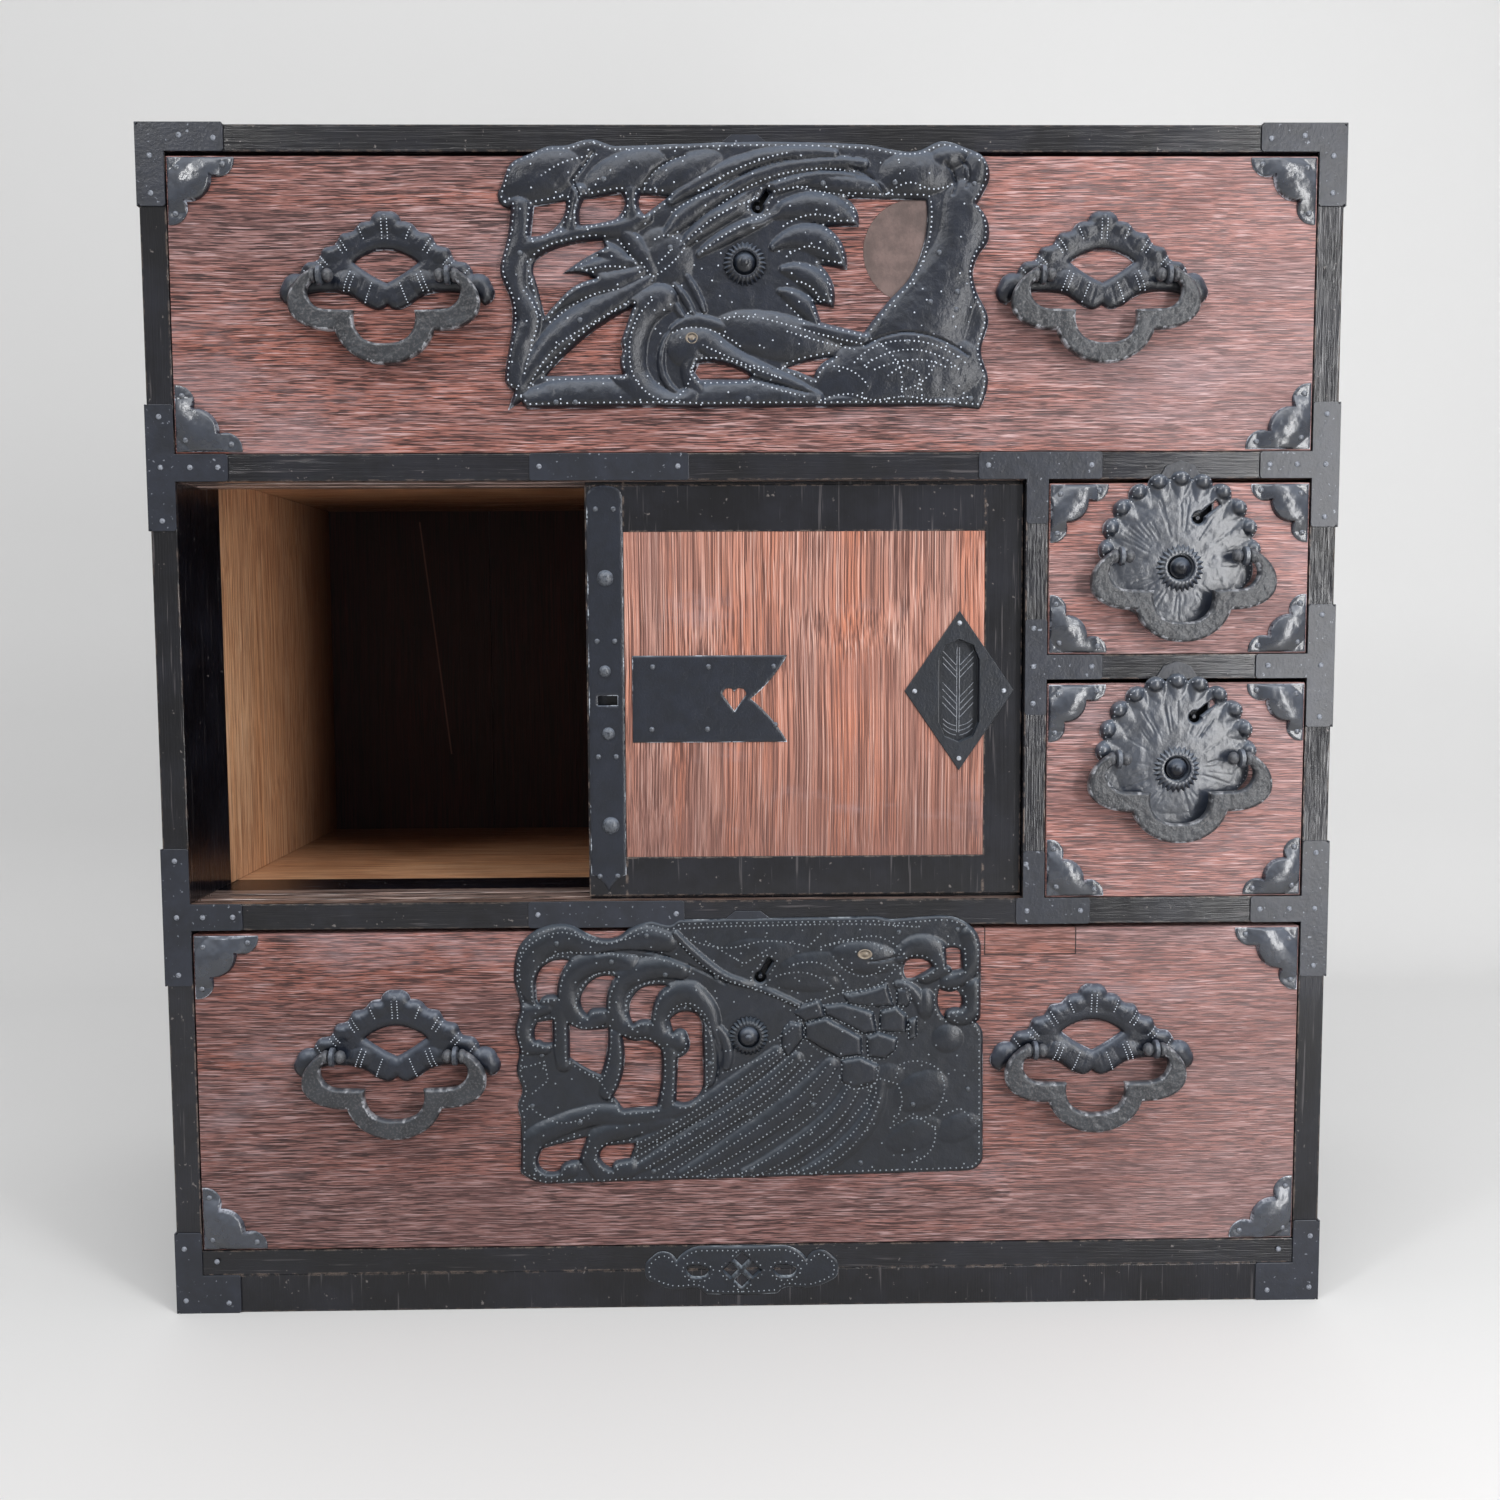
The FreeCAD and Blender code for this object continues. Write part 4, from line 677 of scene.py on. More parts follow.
def lacquer(name, axis, natural=None, tones=NATURAL_TONES):
    """Worn black lacquer, with bare wood in a given box, which darkens towards the back of the case as painted shade.
    """
    s = Shader(name)
    cloud = s.noise(s.scaled(16, 16, 16), 5.0, 0.65)
    black = s.mix(s.ramp(cloud, 0.35, 0.7), srgb(9, 9, 14), srgb(25, 26, 34))
    along = [340.0] * 3
    along[axis] = 14.0
    scratches = s.noise(s.scaled(*along), 2.0, 0.6)
    black = s.mix(s.ramp(scratches, 0.64, 0.74, 0.5), black, srgb(92, 88, 90))
    bevel = s.node("ShaderNodeBevel", {"Radius": 0.0026}, samples=6).outputs[0]
    true = s.node("ShaderNodeNewGeometry").outputs["Normal"]
    edge = s.node("ShaderNodeVectorMath", {0: bevel, 1: true}, operation="DOT_PRODUCT").outputs["Value"]
    chips = s.noise(s.scaled(120, 120, 120), 4.0, 0.7)
    worn = s.math("MULTIPLY", s.ramp(edge, 0.985, 0.86), s.ramp(chips, 0.46, 0.60))
    black = s.mix(worn, black, srgb(128, 112, 102))
    specks = s.noise(s.scaled(230, 230, 230), 2.0, 0.6)
    black = s.mix(s.ramp(specks, 0.70, 0.76, 0.7), black, srgb(120, 114, 112))
    colour, height = black, scratches
    if natural:
        bare, height = grain_colour(s, axis, tones, SHORT_GRAIN)
        depth = s.node("ShaderNodeSeparateXYZ", {0: s.place}).outputs[1]
        # Painted shade: the bare wood darkens deeper into the case.
        bare = s.mix(s.ramp(depth, -0.04, 0.18, 0.86), bare, srgb(84, 48, 32))
        colour = s.mix(s.zone(natural), colour, bare)
    normal = s.bump(height, 0.0004, 0.6)
    return s.finish(colour, s.between(cloud, 0.30, 0.50), normal, Specular_IOR_Level=0.1, Coat_Weight=0.8,
                    Coat_Roughness=0.14, Coat_Normal=s.bump(height, 0.0004, 0.25))


def bare_wood(name, axis, tones, split=None):
    """Unfinished boards, with a faint split between two points (x, z)."""
    s = Shader(name)
    colour, height = grain_colour(s, axis, tones, SHORT_GRAIN)
    stain = s.noise(s.scaled(7, 7, 7), 5.0, 0.6)
    colour = s.mix(s.ramp(stain, 0.45, 0.75, 0.4), colour, srgb(*tones[0]))
    if split:
        (x0, z0), (x1, z1) = split
        lean = (x1 - x0) / (z1 - z0)
        parts = s.node("ShaderNodeSeparateXYZ", {0: s.place}).outputs
        middle = s.math("MULTIPLY_ADD", parts[2], lean)
        middle.node.inputs[2].default_value = (x0 - lean * z0) * MM
        away = s.math("ABSOLUTE", s.math("SUBTRACT", parts[0], middle))
        crack = s.math("MULTIPLY", s.ramp(away, 0.0012, 0.0003, 0.7), s.zone((None, None, z0, None, None, z1)))
        colour = s.mix(crack, colour, srgb(104, 72, 62))
    return s.finish(colour, 0.74, s.bump(height, 0.0004, 0.6))


def iron(name, dark, light, painted_top_light=(96, 106, 120), share=0.5, rough=(0.34, 0.30), pits=0.30, ior=1.5,
         specked=None, speckle=None):
    """Forged iron: dark glossy skin, lighter where it looks up as painted top light and darker where it looks down as
    painted shade, bright where its wear value is high (rubbed wear, and painted glints on sheet edges and punch marks).
    """
    s = Shader(name)
    wear_and_glint = s.node("ShaderNodeAttribute", attribute_name="wear_and_glint").outputs["Fac"]
    facing = s.node("ShaderNodeTexCoord").outputs["Normal"]
    up = s.node("ShaderNodeSeparateXYZ", {0: facing}).outputs[2]
    patch = s.noise(s.scaled(60, 60, 60), 5.0, 0.65)
    fine = s.noise(s.scaled(560, 560, 560), 3.0, 0.6)
    colour = s.mix(s.ramp(patch, 0.3, 0.72), srgb(*dark), srgb(*[int(c * 1.35) for c in dark]))
    colour = s.mix(s.ramp(patch, 0.62, 0.76, 0.3), colour, srgb(58, 56, 60))
    # Painted top light: faces that look up are mixed towards a lighter tone, by the given share.
    colour = s.mix(s.ramp(up, 0.02, 0.75, share), colour, srgb(*painted_top_light))
    # Painted shade: faces that look down are darkened.
    colour = s.mix(s.ramp(up, -0.02, -0.6, 0.7), colour, srgb(10, 11, 15))
    if specked:
        specks = s.noise(s.scaled(260, 260, 260), 2.0, 0.6)
        colour = s.mix(s.ramp(specks, 0.66, 0.72, specked), colour, srgb(*light))
    if speckle:
        colour = s.mix(s.ramp(fine, 0.50, 0.62, 0.5), colour, srgb(*speckle))
    # Rubbed wear, and the painted glints that sheet edges and punch marks carry in the same value.
    rubbed_and_glint = s.math("MULTIPLY", s.ramp(wear_and_glint, 0.52, 0.95), s.ramp(fine, 0.30, 0.52))
    colour = s.mix(rubbed_and_glint, colour, srgb(*light))
    normal = s.bump(patch, 0.0009, 0.5, s.bump(fine, 0.0004, pits))
    return s.finish(colour, s.between(rubbed_and_glint, *rough), normal, IOR=ior)


IRON = iron("black_iron", (20, 24, 33), (190, 198, 210), painted_top_light=(112, 122, 138), rough=(0.31, 0.30), pits=0.75)
WAVE_IRON = iron("smooth_black_iron", (18, 22, 29), (150, 158, 166), painted_top_light=(84, 94, 106), rough=(0.32, 0.30),
                 pits=0.50)
STRAP_IRON = iron("strap_iron", (28, 31, 39), (166, 172, 184), painted_top_light=(100, 106, 116), specked=0.45)
LOCK_IRON = iron("lock_iron", (36, 41, 51), (196, 202, 212), painted_top_light=(120, 130, 144), rough=(0.30, 0.28), ior=1.7)
BAIL_IRON = iron("bail_iron", (38, 40, 44), (150, 152, 158), painted_top_light=(92, 98, 108), pits=1.0, speckle=(84, 82, 84))
CORNER_IRON = iron("corner_iron", (36, 40, 49), (190, 196, 208), painted_top_light=(120, 128, 142), rough=(0.26, 0.24),
                   ior=1.75)
EYE_BRASS = iron("eye_brass", (106, 96, 84), (190, 178, 156), painted_top_light=(140, 128, 112))
MOON = iron("moon_bronze", (84, 71, 68), (190, 180, 172), share=0.2)

# Bare wood inside the case: each box runs from its near corner to its far one, None for an open side.
INNER_X = CASE[0] + SIDE_T - 0.5
CASE_LACQUER = lacquer("case_lacquer", 2, (INNER_X, FRONT + 92, None, -INNER_X, None, None))
RAIL_LACQUER = lacquer("rail_lacquer", 0, (None, FRONT + 1.5, None, None, None, None), SILL_TONES)
DUST_WOOD = lacquer("dust_wood", 0, (None, FRONT + 110, None, None, None, None))
TOP_LACQUER = lacquer("top_lacquer", 0, (None, FRONT + 60, None, None, None, 849.5))
DOOR_LACQUER = lacquer("door_lacquer", 2)
# A fade is (axis, its start, its end, share, tone).
# Tones of the fades: a painted sheen lightens the drawer fronts towards the right, painted shade darkens them towards
# the left and the bottom, and the door panels turn darker towards the bottom.
PAINTED_SHEEN_TONE, PAINTED_SHADE_TONE, DARKER_LOW_TONE = (206, 176, 176), (66, 38, 34), (112, 76, 68)
FRONT_WOOD = wood("front_wood", 0, FRONT_TONES,
                  [(0, 60, 420, 0.28, PAINTED_SHEEN_TONE), (0, 0, -420, 0.11, PAINTED_SHADE_TONE), (2, 400, 180, 0.25, PAINTED_SHADE_TONE)],
                  patch=(174.6, 267.7, 243.4, 291.0))
# The door panels are darker towards the bottom.
PANEL_WOOD = wood("panel_wood", 2, PANEL_TONES, [(2, 470, 330, 0.58, DARKER_LOW_TONE)], short=0.16)
BOX_WOOD = bare_wood("box_wood", 1, NATURAL_TONES)
BACK_WOOD = bare_wood("back_wood", 2, BACK_TONES, split=((-293.6, 386.0), (-320.8, 619.0)))


WELD_REACH = 0.02
BEVEL_ANGLE = 40


def dress(node, material, bevel=0.0):
    """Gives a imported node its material, and small rounded edges."""
    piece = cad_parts[node]
    piece.data.materials.clear()
    piece.data.materials.append(material)
    if bevel:
        weld = piece.modifiers.new("weld", "WELD")
        weld.merge_threshold = WELD_REACH * MM
        modifier = piece.modifiers.new("edges", "BEVEL")
        modifier.width = bevel * MM
        modifier.segments = 2
        modifier.limit_method = "ANGLE"
        modifier.angle_limit = math.radians(BEVEL_ANGLE)
        modifier.harden_normals = False


WIDE_DRAWERS = ("top_drawer", "base_drawer")
SMALL_DRAWERS = ("upper_small_drawer", "lower_small_drawer")
DRAWERS = WIDE_DRAWERS + SMALL_DRAWERS
for node in ("side_left", "side_right", "partition", "plinth"):
    dress(node, CASE_LACQUER, 0.8)
for node in ("upper_rail", "lower_rail", "small_drawer_shelf"):
    dress(node, RAIL_LACQUER, 0.8)
for node in ("upper_dust_board", "lower_dust_board", "bottom_board"):
    dress(node, DUST_WOOD, 0.5)
dress("top_board", TOP_LACQUER, 1.0)
dress("back_boards", BACK_WOOD, 0.5)
for name in DRAWERS:
    dress(name + "_front", FRONT_WOOD, 0.9)
    dress(name + "_box", BOX_WOOD, 0.6)
    for part in ("_lock_case", "_lock_bolt"):
        dress(name + part, IRON, 0.3)
for name in ("front_door", "rear_door"):
    dress(name + "_frame", DOOR_LACQUER, 0.8)
    dress(name + "_panel", PANEL_WOOD, 0.4)
    dress(name + "_pull", WAVE_IRON, 0.5)
dress("front_door_lock_case", IRON, 0.3)
dress("frame_irons", STRAP_IRON, 0.5)
dress("moon_inlay", MOON)


# ---- ironwork ------------------------------------------------------------------
def plain_irons(node, name, body, material, nails=(), dots=False, swells=(), studs=()):
    """Flat irons of a node as worked sheets, with dotted edges, nails and studs."""
    pile = Pile()
    back_y = node_box(node)[4]
    for group in sheets_of(node_loops(node, back_y - IRON_T)):
        relief = Relief(IRON_T, hammer=0.10)
        for swell in swells:
            relief.swell(*swell)
        height, rings, near = iron_sheet(pile, group, back_y, relief, 1.3, rim=IRON_T / 2, radius=1.6)
        if dots:
            punch(pile, inset_dots(rings, near, 3.2, 3.4), height, back_y, 0.6, 0.4)
        nail_heads(pile, np.array(nails, float).reshape(-1, 2), height, back_y, 2.0, 1.2)
        for x, z, radius, rise in studs:
            dome(pile, x, back_y - IRON_T, z, radius, rise, 22, 0.62)
    pile.piece(name, body, material, "iron", (node,))


CORNER_NAILS = ((0.16, 0.17), (0.84, 0.11), (0.11, 0.84))      # shares of the legs


def corner_irons(name):
    """Drawer corners: three lobes, a dome beaten up in the middle, three nails."""
    pile = Pile()
    node = name + "_corner_irons"
    x0, _, z0, x1, _, z1 = node_box(node)
    for group in sheets_of(node_loops(node, FRONT - IRON_T)):
        low, high = group[0].min(0), group[0].max(0)
        sx = 1 if low[0] - x0 < 5 else -1
        sz = 1 if low[1] - z0 < 5 else -1
        corner = np.array([low[0] if sx > 0 else high[0], low[1] if sz > 0 else high[1]])
        size = high[0] - low[0]
        relief = Relief(IRON_T, corner, hammer=0.30, seed=int(abs(corner[0])))
        relief.swell(sx * size * 0.36, sz * size * 0.36, size * 0.56, size * 0.34, 5.0, turn=-45 * sx * sz)
        height, rings, near = iron_sheet(pile, group, FRONT, relief, 1.1, rim=0.6, radius=1.4)
        nail_heads(pile, corner + np.array(CORNER_NAILS) * (sx, sz) * size, height, FRONT, 2.2, 1.4)
    pile.piece(node + "_work", name, CORNER_IRON, "iron", (node,))


def circle(x, z, radius, count=28):
    turn = 2 * np.pi * np.arange(count) / count
    return np.stack([x + radius * np.cos(turn), z + radius * np.sin(turn)], 1)


COLLAR_TEETH = 26
COLLAR_H = 3.4
# Rings of a collar, from its foot: share of its radius, place along y, share of the pleats' depth.
COLLAR_ROWS = ((1.0, 0.3, 1.0), (0.99, -0.6, 1.0), (0.86, -0.62 * COLLAR_H, 0.9), (0.72, -0.95 * COLLAR_H, 0.5),
               (0.63, -COLLAR_H, 0.15), (0.56, -0.9 * COLLAR_H, 0.0), (0.54, 0.3, 0.0))


def collar(pile, x, y, z, radius):
    """Toothed collar round a button: pleats that run in from the teeth to a round throat."""
    sides = COLLAR_TEETH * 4
    points, wear_and_glint = [], []
    for share, dy, pleat in COLLAR_ROWS:
        for k in range(sides):
            angle = 2 * math.pi * k / sides
            wave = 0.5 - 0.5 * math.cos(COLLAR_TEETH * angle)
            r = radius * share * (1 - 0.10 * pleat * wave)
            points.append((x + r * math.cos(angle), y + dy + 0.8 * pleat * wave * (dy < 0), z + r * math.sin(angle)))
            wear_and_glint.append(0.30 + 0.32 * pleat * (1 - wave) * (dy < 0))
    pile.add(points, bands(len(COLLAR_ROWS), sides, loop=True), wear_and_glint)


NIPPLE_H = 3.4
STEM_SHOWS = 1.8          # from the plate's face to the dome's shoulder


def button(name, x, z, radius):
    """Button: flange and stem as packed, a high dome and a turned nipple."""
    low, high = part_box(name + "_lock_button")
    foot, total = high.y / MM, (high.y - low.y) / MM
    shoulder = foot - FRONT + PLATE_T + STEM_SHOWS
    rise = total - shoulder - NIPPLE_H
    profile = [(0, 0), (radius, 0), (radius, shoulder), (0.86 * radius, shoulder + 0.5)]
    for k in range(1, 8):
        angle = math.radians(11 * k)
        profile.append((0.80 * radius * math.cos(angle), shoulder + 0.5 + (rise - 0.5) * math.sin(angle)))
    top = shoulder + rise
    tip = top + NIPPLE_H
    profile += [(2.1, top), (2.0, top + 0.5), (3.0, top + 1.2), (3.1, top + 2.1), (2.2, tip - 0.5), (1.1, tip),
                (0, tip)]
    pile = Pile()
    turned(pile, profile, (x, foot, z), (0, -1, 0), 40, 0.5)
    pile.piece(name + "_button_head", name + "_lock_button", IRON, "lock_iron", (name + "_lock_button",))


# Half outlines of a bail's bar about the middle of its two necks, and its turned tips.
BAIL_OUTER = [(50.5, 4.0), (55.0, 1.6), (60.6, -3.2), (65.4, -10.0), (67.4, -17.5), (66.2, -25.4), (61.6, -31.2),
              (53.4, -35.8), (43.4, -38.2), (34.7, -38.5), (31.6, -45.5), (26.4, -52.0), (19.8, -56.8),
              (10.5, -60.6), (0, -61.9)]
BAIL_INNER = [(50.5, -3.8), (53.4, -7.4), (54.2, -12.0), (52.2, -17.6), (48.4, -21.5), (44.0, -23.4), (40.0, -23.9),
              (21.5, -24.5), (22.0, -31.6), (19.4, -39.4), (15.8, -43.4), (11.4, -45.9), (5.8, -47.3), (0, -47.6)]
BAIL_TIP = [(0, -4.6), (1.9, -4.2), (3.9, -3.0), (4.8, -1.2), (4.8, 0.4), (3.9, 2.0), (2.95, 2.9), (2.95, 8.0),
            (4.4, 8.3), (5.0, 9.4), (5.0, 11.0), (4.2, 12.2), (3.4, 13.2), (0, 13.4)]
BAIL_HALF_T = 4.5         # half the bar's thickness
BAIL_RIM = 2.4            # half its edge's thickness
BAIL_ROUND = 2.4          # how far in the edge rounds over
BAIL_NECK = 5.2           # from a post's middle to the foot of the turned tip


def bail(body, x, z):
    """Forged drop handle: flat bar with broken edges, its necks, collars and tip beads."""
    outer, inner = np.array(BAIL_OUTER), np.array(BAIL_INNER)
    flip = np.array([-1, 1])
    ring = np.concatenate([outer, (outer * flip)[-2::-1], inner * flip, inner[-2::-1]]) + (x, z)
    ring = smooth_path(ring, 1.1, corner=58)
    if area(ring) < 0:
        ring = ring[::-1]
    near = Nearest(ring)
    flat, faces, place = triangulate([ring], filling([ring], near, 1.2))
    distance = near(flat)
    distance[place[:len(ring)]] = 0
    t = np.clip(distance / BAIL_ROUND, 0, 1)
    hammered = 0.26 * lattice(flat, 2.6, 11) + 0.26 * lattice(flat, 6.0, 12)
    half = rounded(BAIL_HALF_T - 0.3, distance, BAIL_RIM, BAIL_ROUND) + hammered * t
    half = np.minimum(half, BAIL_HALF_T)
    count = len(flat)
    front = np.stack([flat[:, 0], HINGE_Y - half, flat[:, 1]], 1)
    back = np.stack([flat[:, 0], HINGE_Y + half, flat[:, 1]], 1)
    n = len(ring)
    walls = [(place[i], place[i] + count, place[(i + 1) % n] + count, place[(i + 1) % n]) for i in range(n)]
    wear_and_glint = np.clip(0.20 + 0.45 * (distance < 1.6) + 0.40 * lattice(flat, 3.0, 5), 0, 1)
    pile = Pile()
    pile.add(np.concatenate([front, back]),
             list(faces) + [(f[0] + count, f[2] + count, f[1] + count) for f in faces] + walls,
             np.concatenate([wear_and_glint, wear_and_glint]))
    for side in (-1, 1):
        turned(pile, BAIL_TIP, (x + side * (POST_X - BAIL_NECK), HINGE_Y, z), (side, 0, 0), 24, 0.62)
    pile.piece(body + "_forged", body, BAIL_IRON, "iron", (body,))


# Ring of an eye: (radius, place along the handle's axis).
POST_PROFILE = [(3.05, 2.0), (5.6, 2.0), (6.9, 1.3), (6.9, -1.3), (5.6, -2.0), (3.05, -2.0)]
DRAWER_FRONT_T = 20.0
SHANK_HALF = (1.9, 2.9)   # half a shank's size along x and z
CLENCH = (12.0, 2.0)      # length and thickness of its bent end


def post(pile, x, z, outward):
    """Eye of a post with its shank and clenched end."""
    sides = 28
    angles = [2 * math.pi * k / sides for k in range(sides)]
    points = [(x + t, HINGE_Y + r * math.cos(a), z + r * math.sin(a)) for r, t in POST_PROFILE for a in angles]
    pile.add(points, [face[::-1] for face in bands(len(POST_PROFILE), sides, loop=True)], 0.6)
    end_y = FRONT + DRAWER_FRONT_T
    half_x, half_z = SHANK_HALF
    end_x = x + outward * CLENCH[0]
    for x0, y0, x1, y1 in ((x - half_x, HINGE_Y + 5.0, x + half_x, end_y + 1.9),
                           (min(x, end_x), end_y, max(x, end_x), end_y + CLENCH[1])):
        corners = [(a, b, c) for a in (x0, x1) for b in (y0, y1) for c in (z - half_z, z + half_z)]
        quads = [(0, 1, 3, 2), (4, 6, 7, 5), (0, 4, 5, 1), (2, 3, 7, 6), (0, 2, 6, 4), (1, 5, 7, 3)]
        pile.add(corners, quads, 0.3)


# The right half of a cloud plate, about the middle between its posts: fat bands (x, z, half length,
# turn in degrees), seams and lines of dots.
CLOUD_SWELLS = [(13, 36, 10, -25), (26, 27, 10, -38), (38, 19, 10, -38), (50, 10, 9, -38), (66, -7, 11, -50),
                (28, -4, 11, -20)]
CLOUD_SEAMS = [[(19, 42), (13, 30)], [(30, 34), (22, 24)], [(42, 25), (33, 15)], [(55, 15), (45, 8)],
               [(64, 6), (58, -8)], [(9, -18), (4, -2)], [(22, -12), (15, -1)], [(36, -9), (30, 5)]]
CLOUD_DOTS = [[(2, 27), (2, 40)], [(15, 27), (20, 39)], [(27, 19), (34, 30)], [(30, 17), (37, 27)],
              [(41, 9), (50, 19)], [(44, 7), (53, 16)], [(10, -4), (15, -17)], [(22, 2), (27, -11)],
              [(25, 4), (30, -9)], [(54, 0), (60, 8)]]
SHANK_AREA = 1500         # outlines under this are a post's shank, in square millimetres
LEAST_OPENING = 200       # openings under this take a shank


def handle_plates(name, z):
    """Cloud plates behind a wide drawer's handles, beaten up into fat bands, with their posts."""
    pile = Pile()
    node = name + "_handle_plates"
    for group in sheets_of(node_loops(node, FRONT - CLOUD_T)):
        if area(group[0]) < SHANK_AREA:
            continue
        x = 0.5 * (group[0][:, 0].min() + group[0][:, 0].max())
        group = [group[0]] + [g for g in group[1:] if area(g) > LEAST_OPENING]
        relief = Relief(5.4, (x, z), hammer=0.22, seed=int(abs(x)))
        relief.swell(0, 40, 13, 9, 1.8)
        for side in (-1, 1):
            for u, v, half_length, turn in CLOUD_SWELLS:
                relief.swell(side * u, v, half_length, 9, 1.7, turn=side * turn)
            for seam in CLOUD_SEAMS:
                relief.groove([(side * u, v, 0.9) for u, v in seam], 0.32)
        height, rings, near = iron_sheet(pile, group, FRONT, relief, 1.0, rim=0.9, radius=7.5, wear_gain=1.4)
        lines = [dot_line([(side * u, v) for u, v in line], 2.0) for line in CLOUD_DOTS for side in (-1, 1)]
        dots = np.concatenate(lines) + (x, z)
        dots = dots[inside(dots, rings)]
        punch(pile, dots[near(dots) > 1.0], height, FRONT, 0.55, 0.4)
        nail_heads(pile, np.array([(x, z + 42.0)]), height, FRONT, 1.7, 1.0)
        for side in (-1, 1):
            post(pile, x + side * POST_X, z, side)
    pile.piece(node + "_work", name, IRON, "iron", (node,))


# Height of each drawer's handle axis, the middle of the small plates, and each button: x, z,
# radius, radius of its collar.
BAIL_Z = {"top_drawer": 760.5, "base_drawer": 198.5, "upper_small_drawer": 561.5, "lower_small_drawer": 414.5}
FLOWER_X = 315.0
BUTTONS = {"top_drawer": (-1, 770, 9.0, 15.5), "base_drawer": (-1, 209, 9.0, 15.0),
           "upper_small_drawer": (FLOWER_X, 553.5, 7.6, 18.0), "lower_small_drawer": (FLOWER_X, 406.5, 7.6, 18.0)}
PETALS, PETAL_TURN = 11, 17.5     # and the degrees from one to the next
BEAD_AT = 54.5                    # from the middle of the flower to a petal's bead
RAYS = 46                         # fine scratches that run in to the button
FLOWER_AREA = 4000                # outlines over this are a small plate, in square millimetres


def flower_plate(name):
    """Chrysanthemum lock plate with a bead on each upper petal."""
    pile = Pile()
    node = name + "_lock_plate"
    x, z = FLOWER_X, BAIL_Z[name] + 2.5
    group = [g for g in sheets_of(node_loops(node, FRONT - PLATE_T)) if area(g[0]) > FLOWER_AREA][0]
    holes = [g for g in group[1:] if np.linalg.norm(g.mean(0) - (x, z)) > 15 and abs(g.mean(0)[0] - x) < 40]
    bx, bz, button_r, collar_r = BUTTONS[name]
    group = [group[0]] + holes + [circle(bx, bz, button_r + 0.3)]
    relief = Relief(2.0, (x, z), hammer=0.16, seed=int(z))
    relief.swell(0, 2, 48, 46, 2.2, fall=0.8)
    for k in range(PETALS):
        angle = math.radians(90 + (k - PETALS // 2) * PETAL_TURN)
        c, s = math.cos(angle), math.sin(angle)
        relief.ridge([(40 * c, 40 * s, 4.5), (57 * c, 57 * s, 8.2)], 1.4)
        relief.swell(BEAD_AT * c, BEAD_AT * s, 6.0, 6.0, 5.2, fall=0.5)
    rays = np.random.default_rng(int(z))
    for _ in range(RAYS):
        angle = rays.uniform(0, 2 * math.pi)
        near_r, far_r = rays.uniform(20, 30), rays.uniform(32, 46)
        c, s = math.cos(angle), math.sin(angle)
        relief.groove([(near_r * c, near_r * s - 6, 0.7), (far_r * c, far_r * s - 3, 0.7)], 0.22)
    height, rings, near = iron_sheet(pile, group, FRONT, relief, 0.95, rim=0.8, radius=2.0, wear_gain=0.4)
    punch(pile, inset_dots(rings[:1], near, 2.2, 3.0), height, FRONT, 0.5, 0.35, 0.8)
    collar(pile, bx, FRONT - 3.2, bz, collar_r)
    for side in (-1, 1):
        post(pile, x + side * POST_X, BAIL_Z[name], side)
    pile.piece(node + "_work", name, LOCK_IRON, "lock_iron", (node,))


# ---- chased lock plates --------------------------------------------------------
# The drawings of the two wide plates are laid out in units of about 0.24 mm, from a corner above
# and left of each plate. A point is (x to the right, y down), in strokes with the half width too.
CRANE_LAYOUT = dict(unit=(0.2404, 0.2404), corner=(-187.3, 866.2))
WAVE_LAYOUT = dict(unit=(0.2363, 0.2417), corner=(-183.4, 311.7))
STROKE_BLEND = 1.3        # a stroke blends out past its drawn width
WIDE_PLATE_AREA = 20000   # outlines over this are a wide plate, in square millimetres
KEYHOLE_AREA = 150        # openings under this are its keyhole
KEYHOLE_CALM = 16.0       # the relief dies away this far round it
DOT_INSET, DOT_PITCH, STIPPLE_PITCH = 3.0, 3.4, 7.5
DOT_CLEARANCE = 1.6       # from a dot to the nearest edge
COLLAR_CLEARANCE = 1.5    # from a dot to a collar's teeth


def laid(points, layout):
    """Drawing units to millimetres on the chest's front."""
    placed = np.array(points, float)
    placed[:, 0] = layout["corner"][0] + placed[:, 0] * layout["unit"][0]
    placed[:, 1] = layout["corner"][1] - placed[:, 1] * layout["unit"][1]
    placed[:, 2:] *= layout["unit"][0]
    return placed


def chase(relief, layout, swells, ridges, grooves):
    """Adds a drawing's forms to a relief: swells (x, y, rx, ry, rise, turn), strokes with their rise."""
    for x, y, rx, ry, rise, turn in swells:
        (u, v), unit = laid([(x, y)], layout)[0], layout["unit"][0]
        relief.swell(u, v, rx * unit, ry * unit, rise, turn, 0.8)
    for rise, stroke in ridges:
        relief.ridge(laid(stroke, layout) * (1, 1, STROKE_BLEND), rise)
    for depth, stroke in grooves:
        relief.groove(laid(stroke, layout), depth)


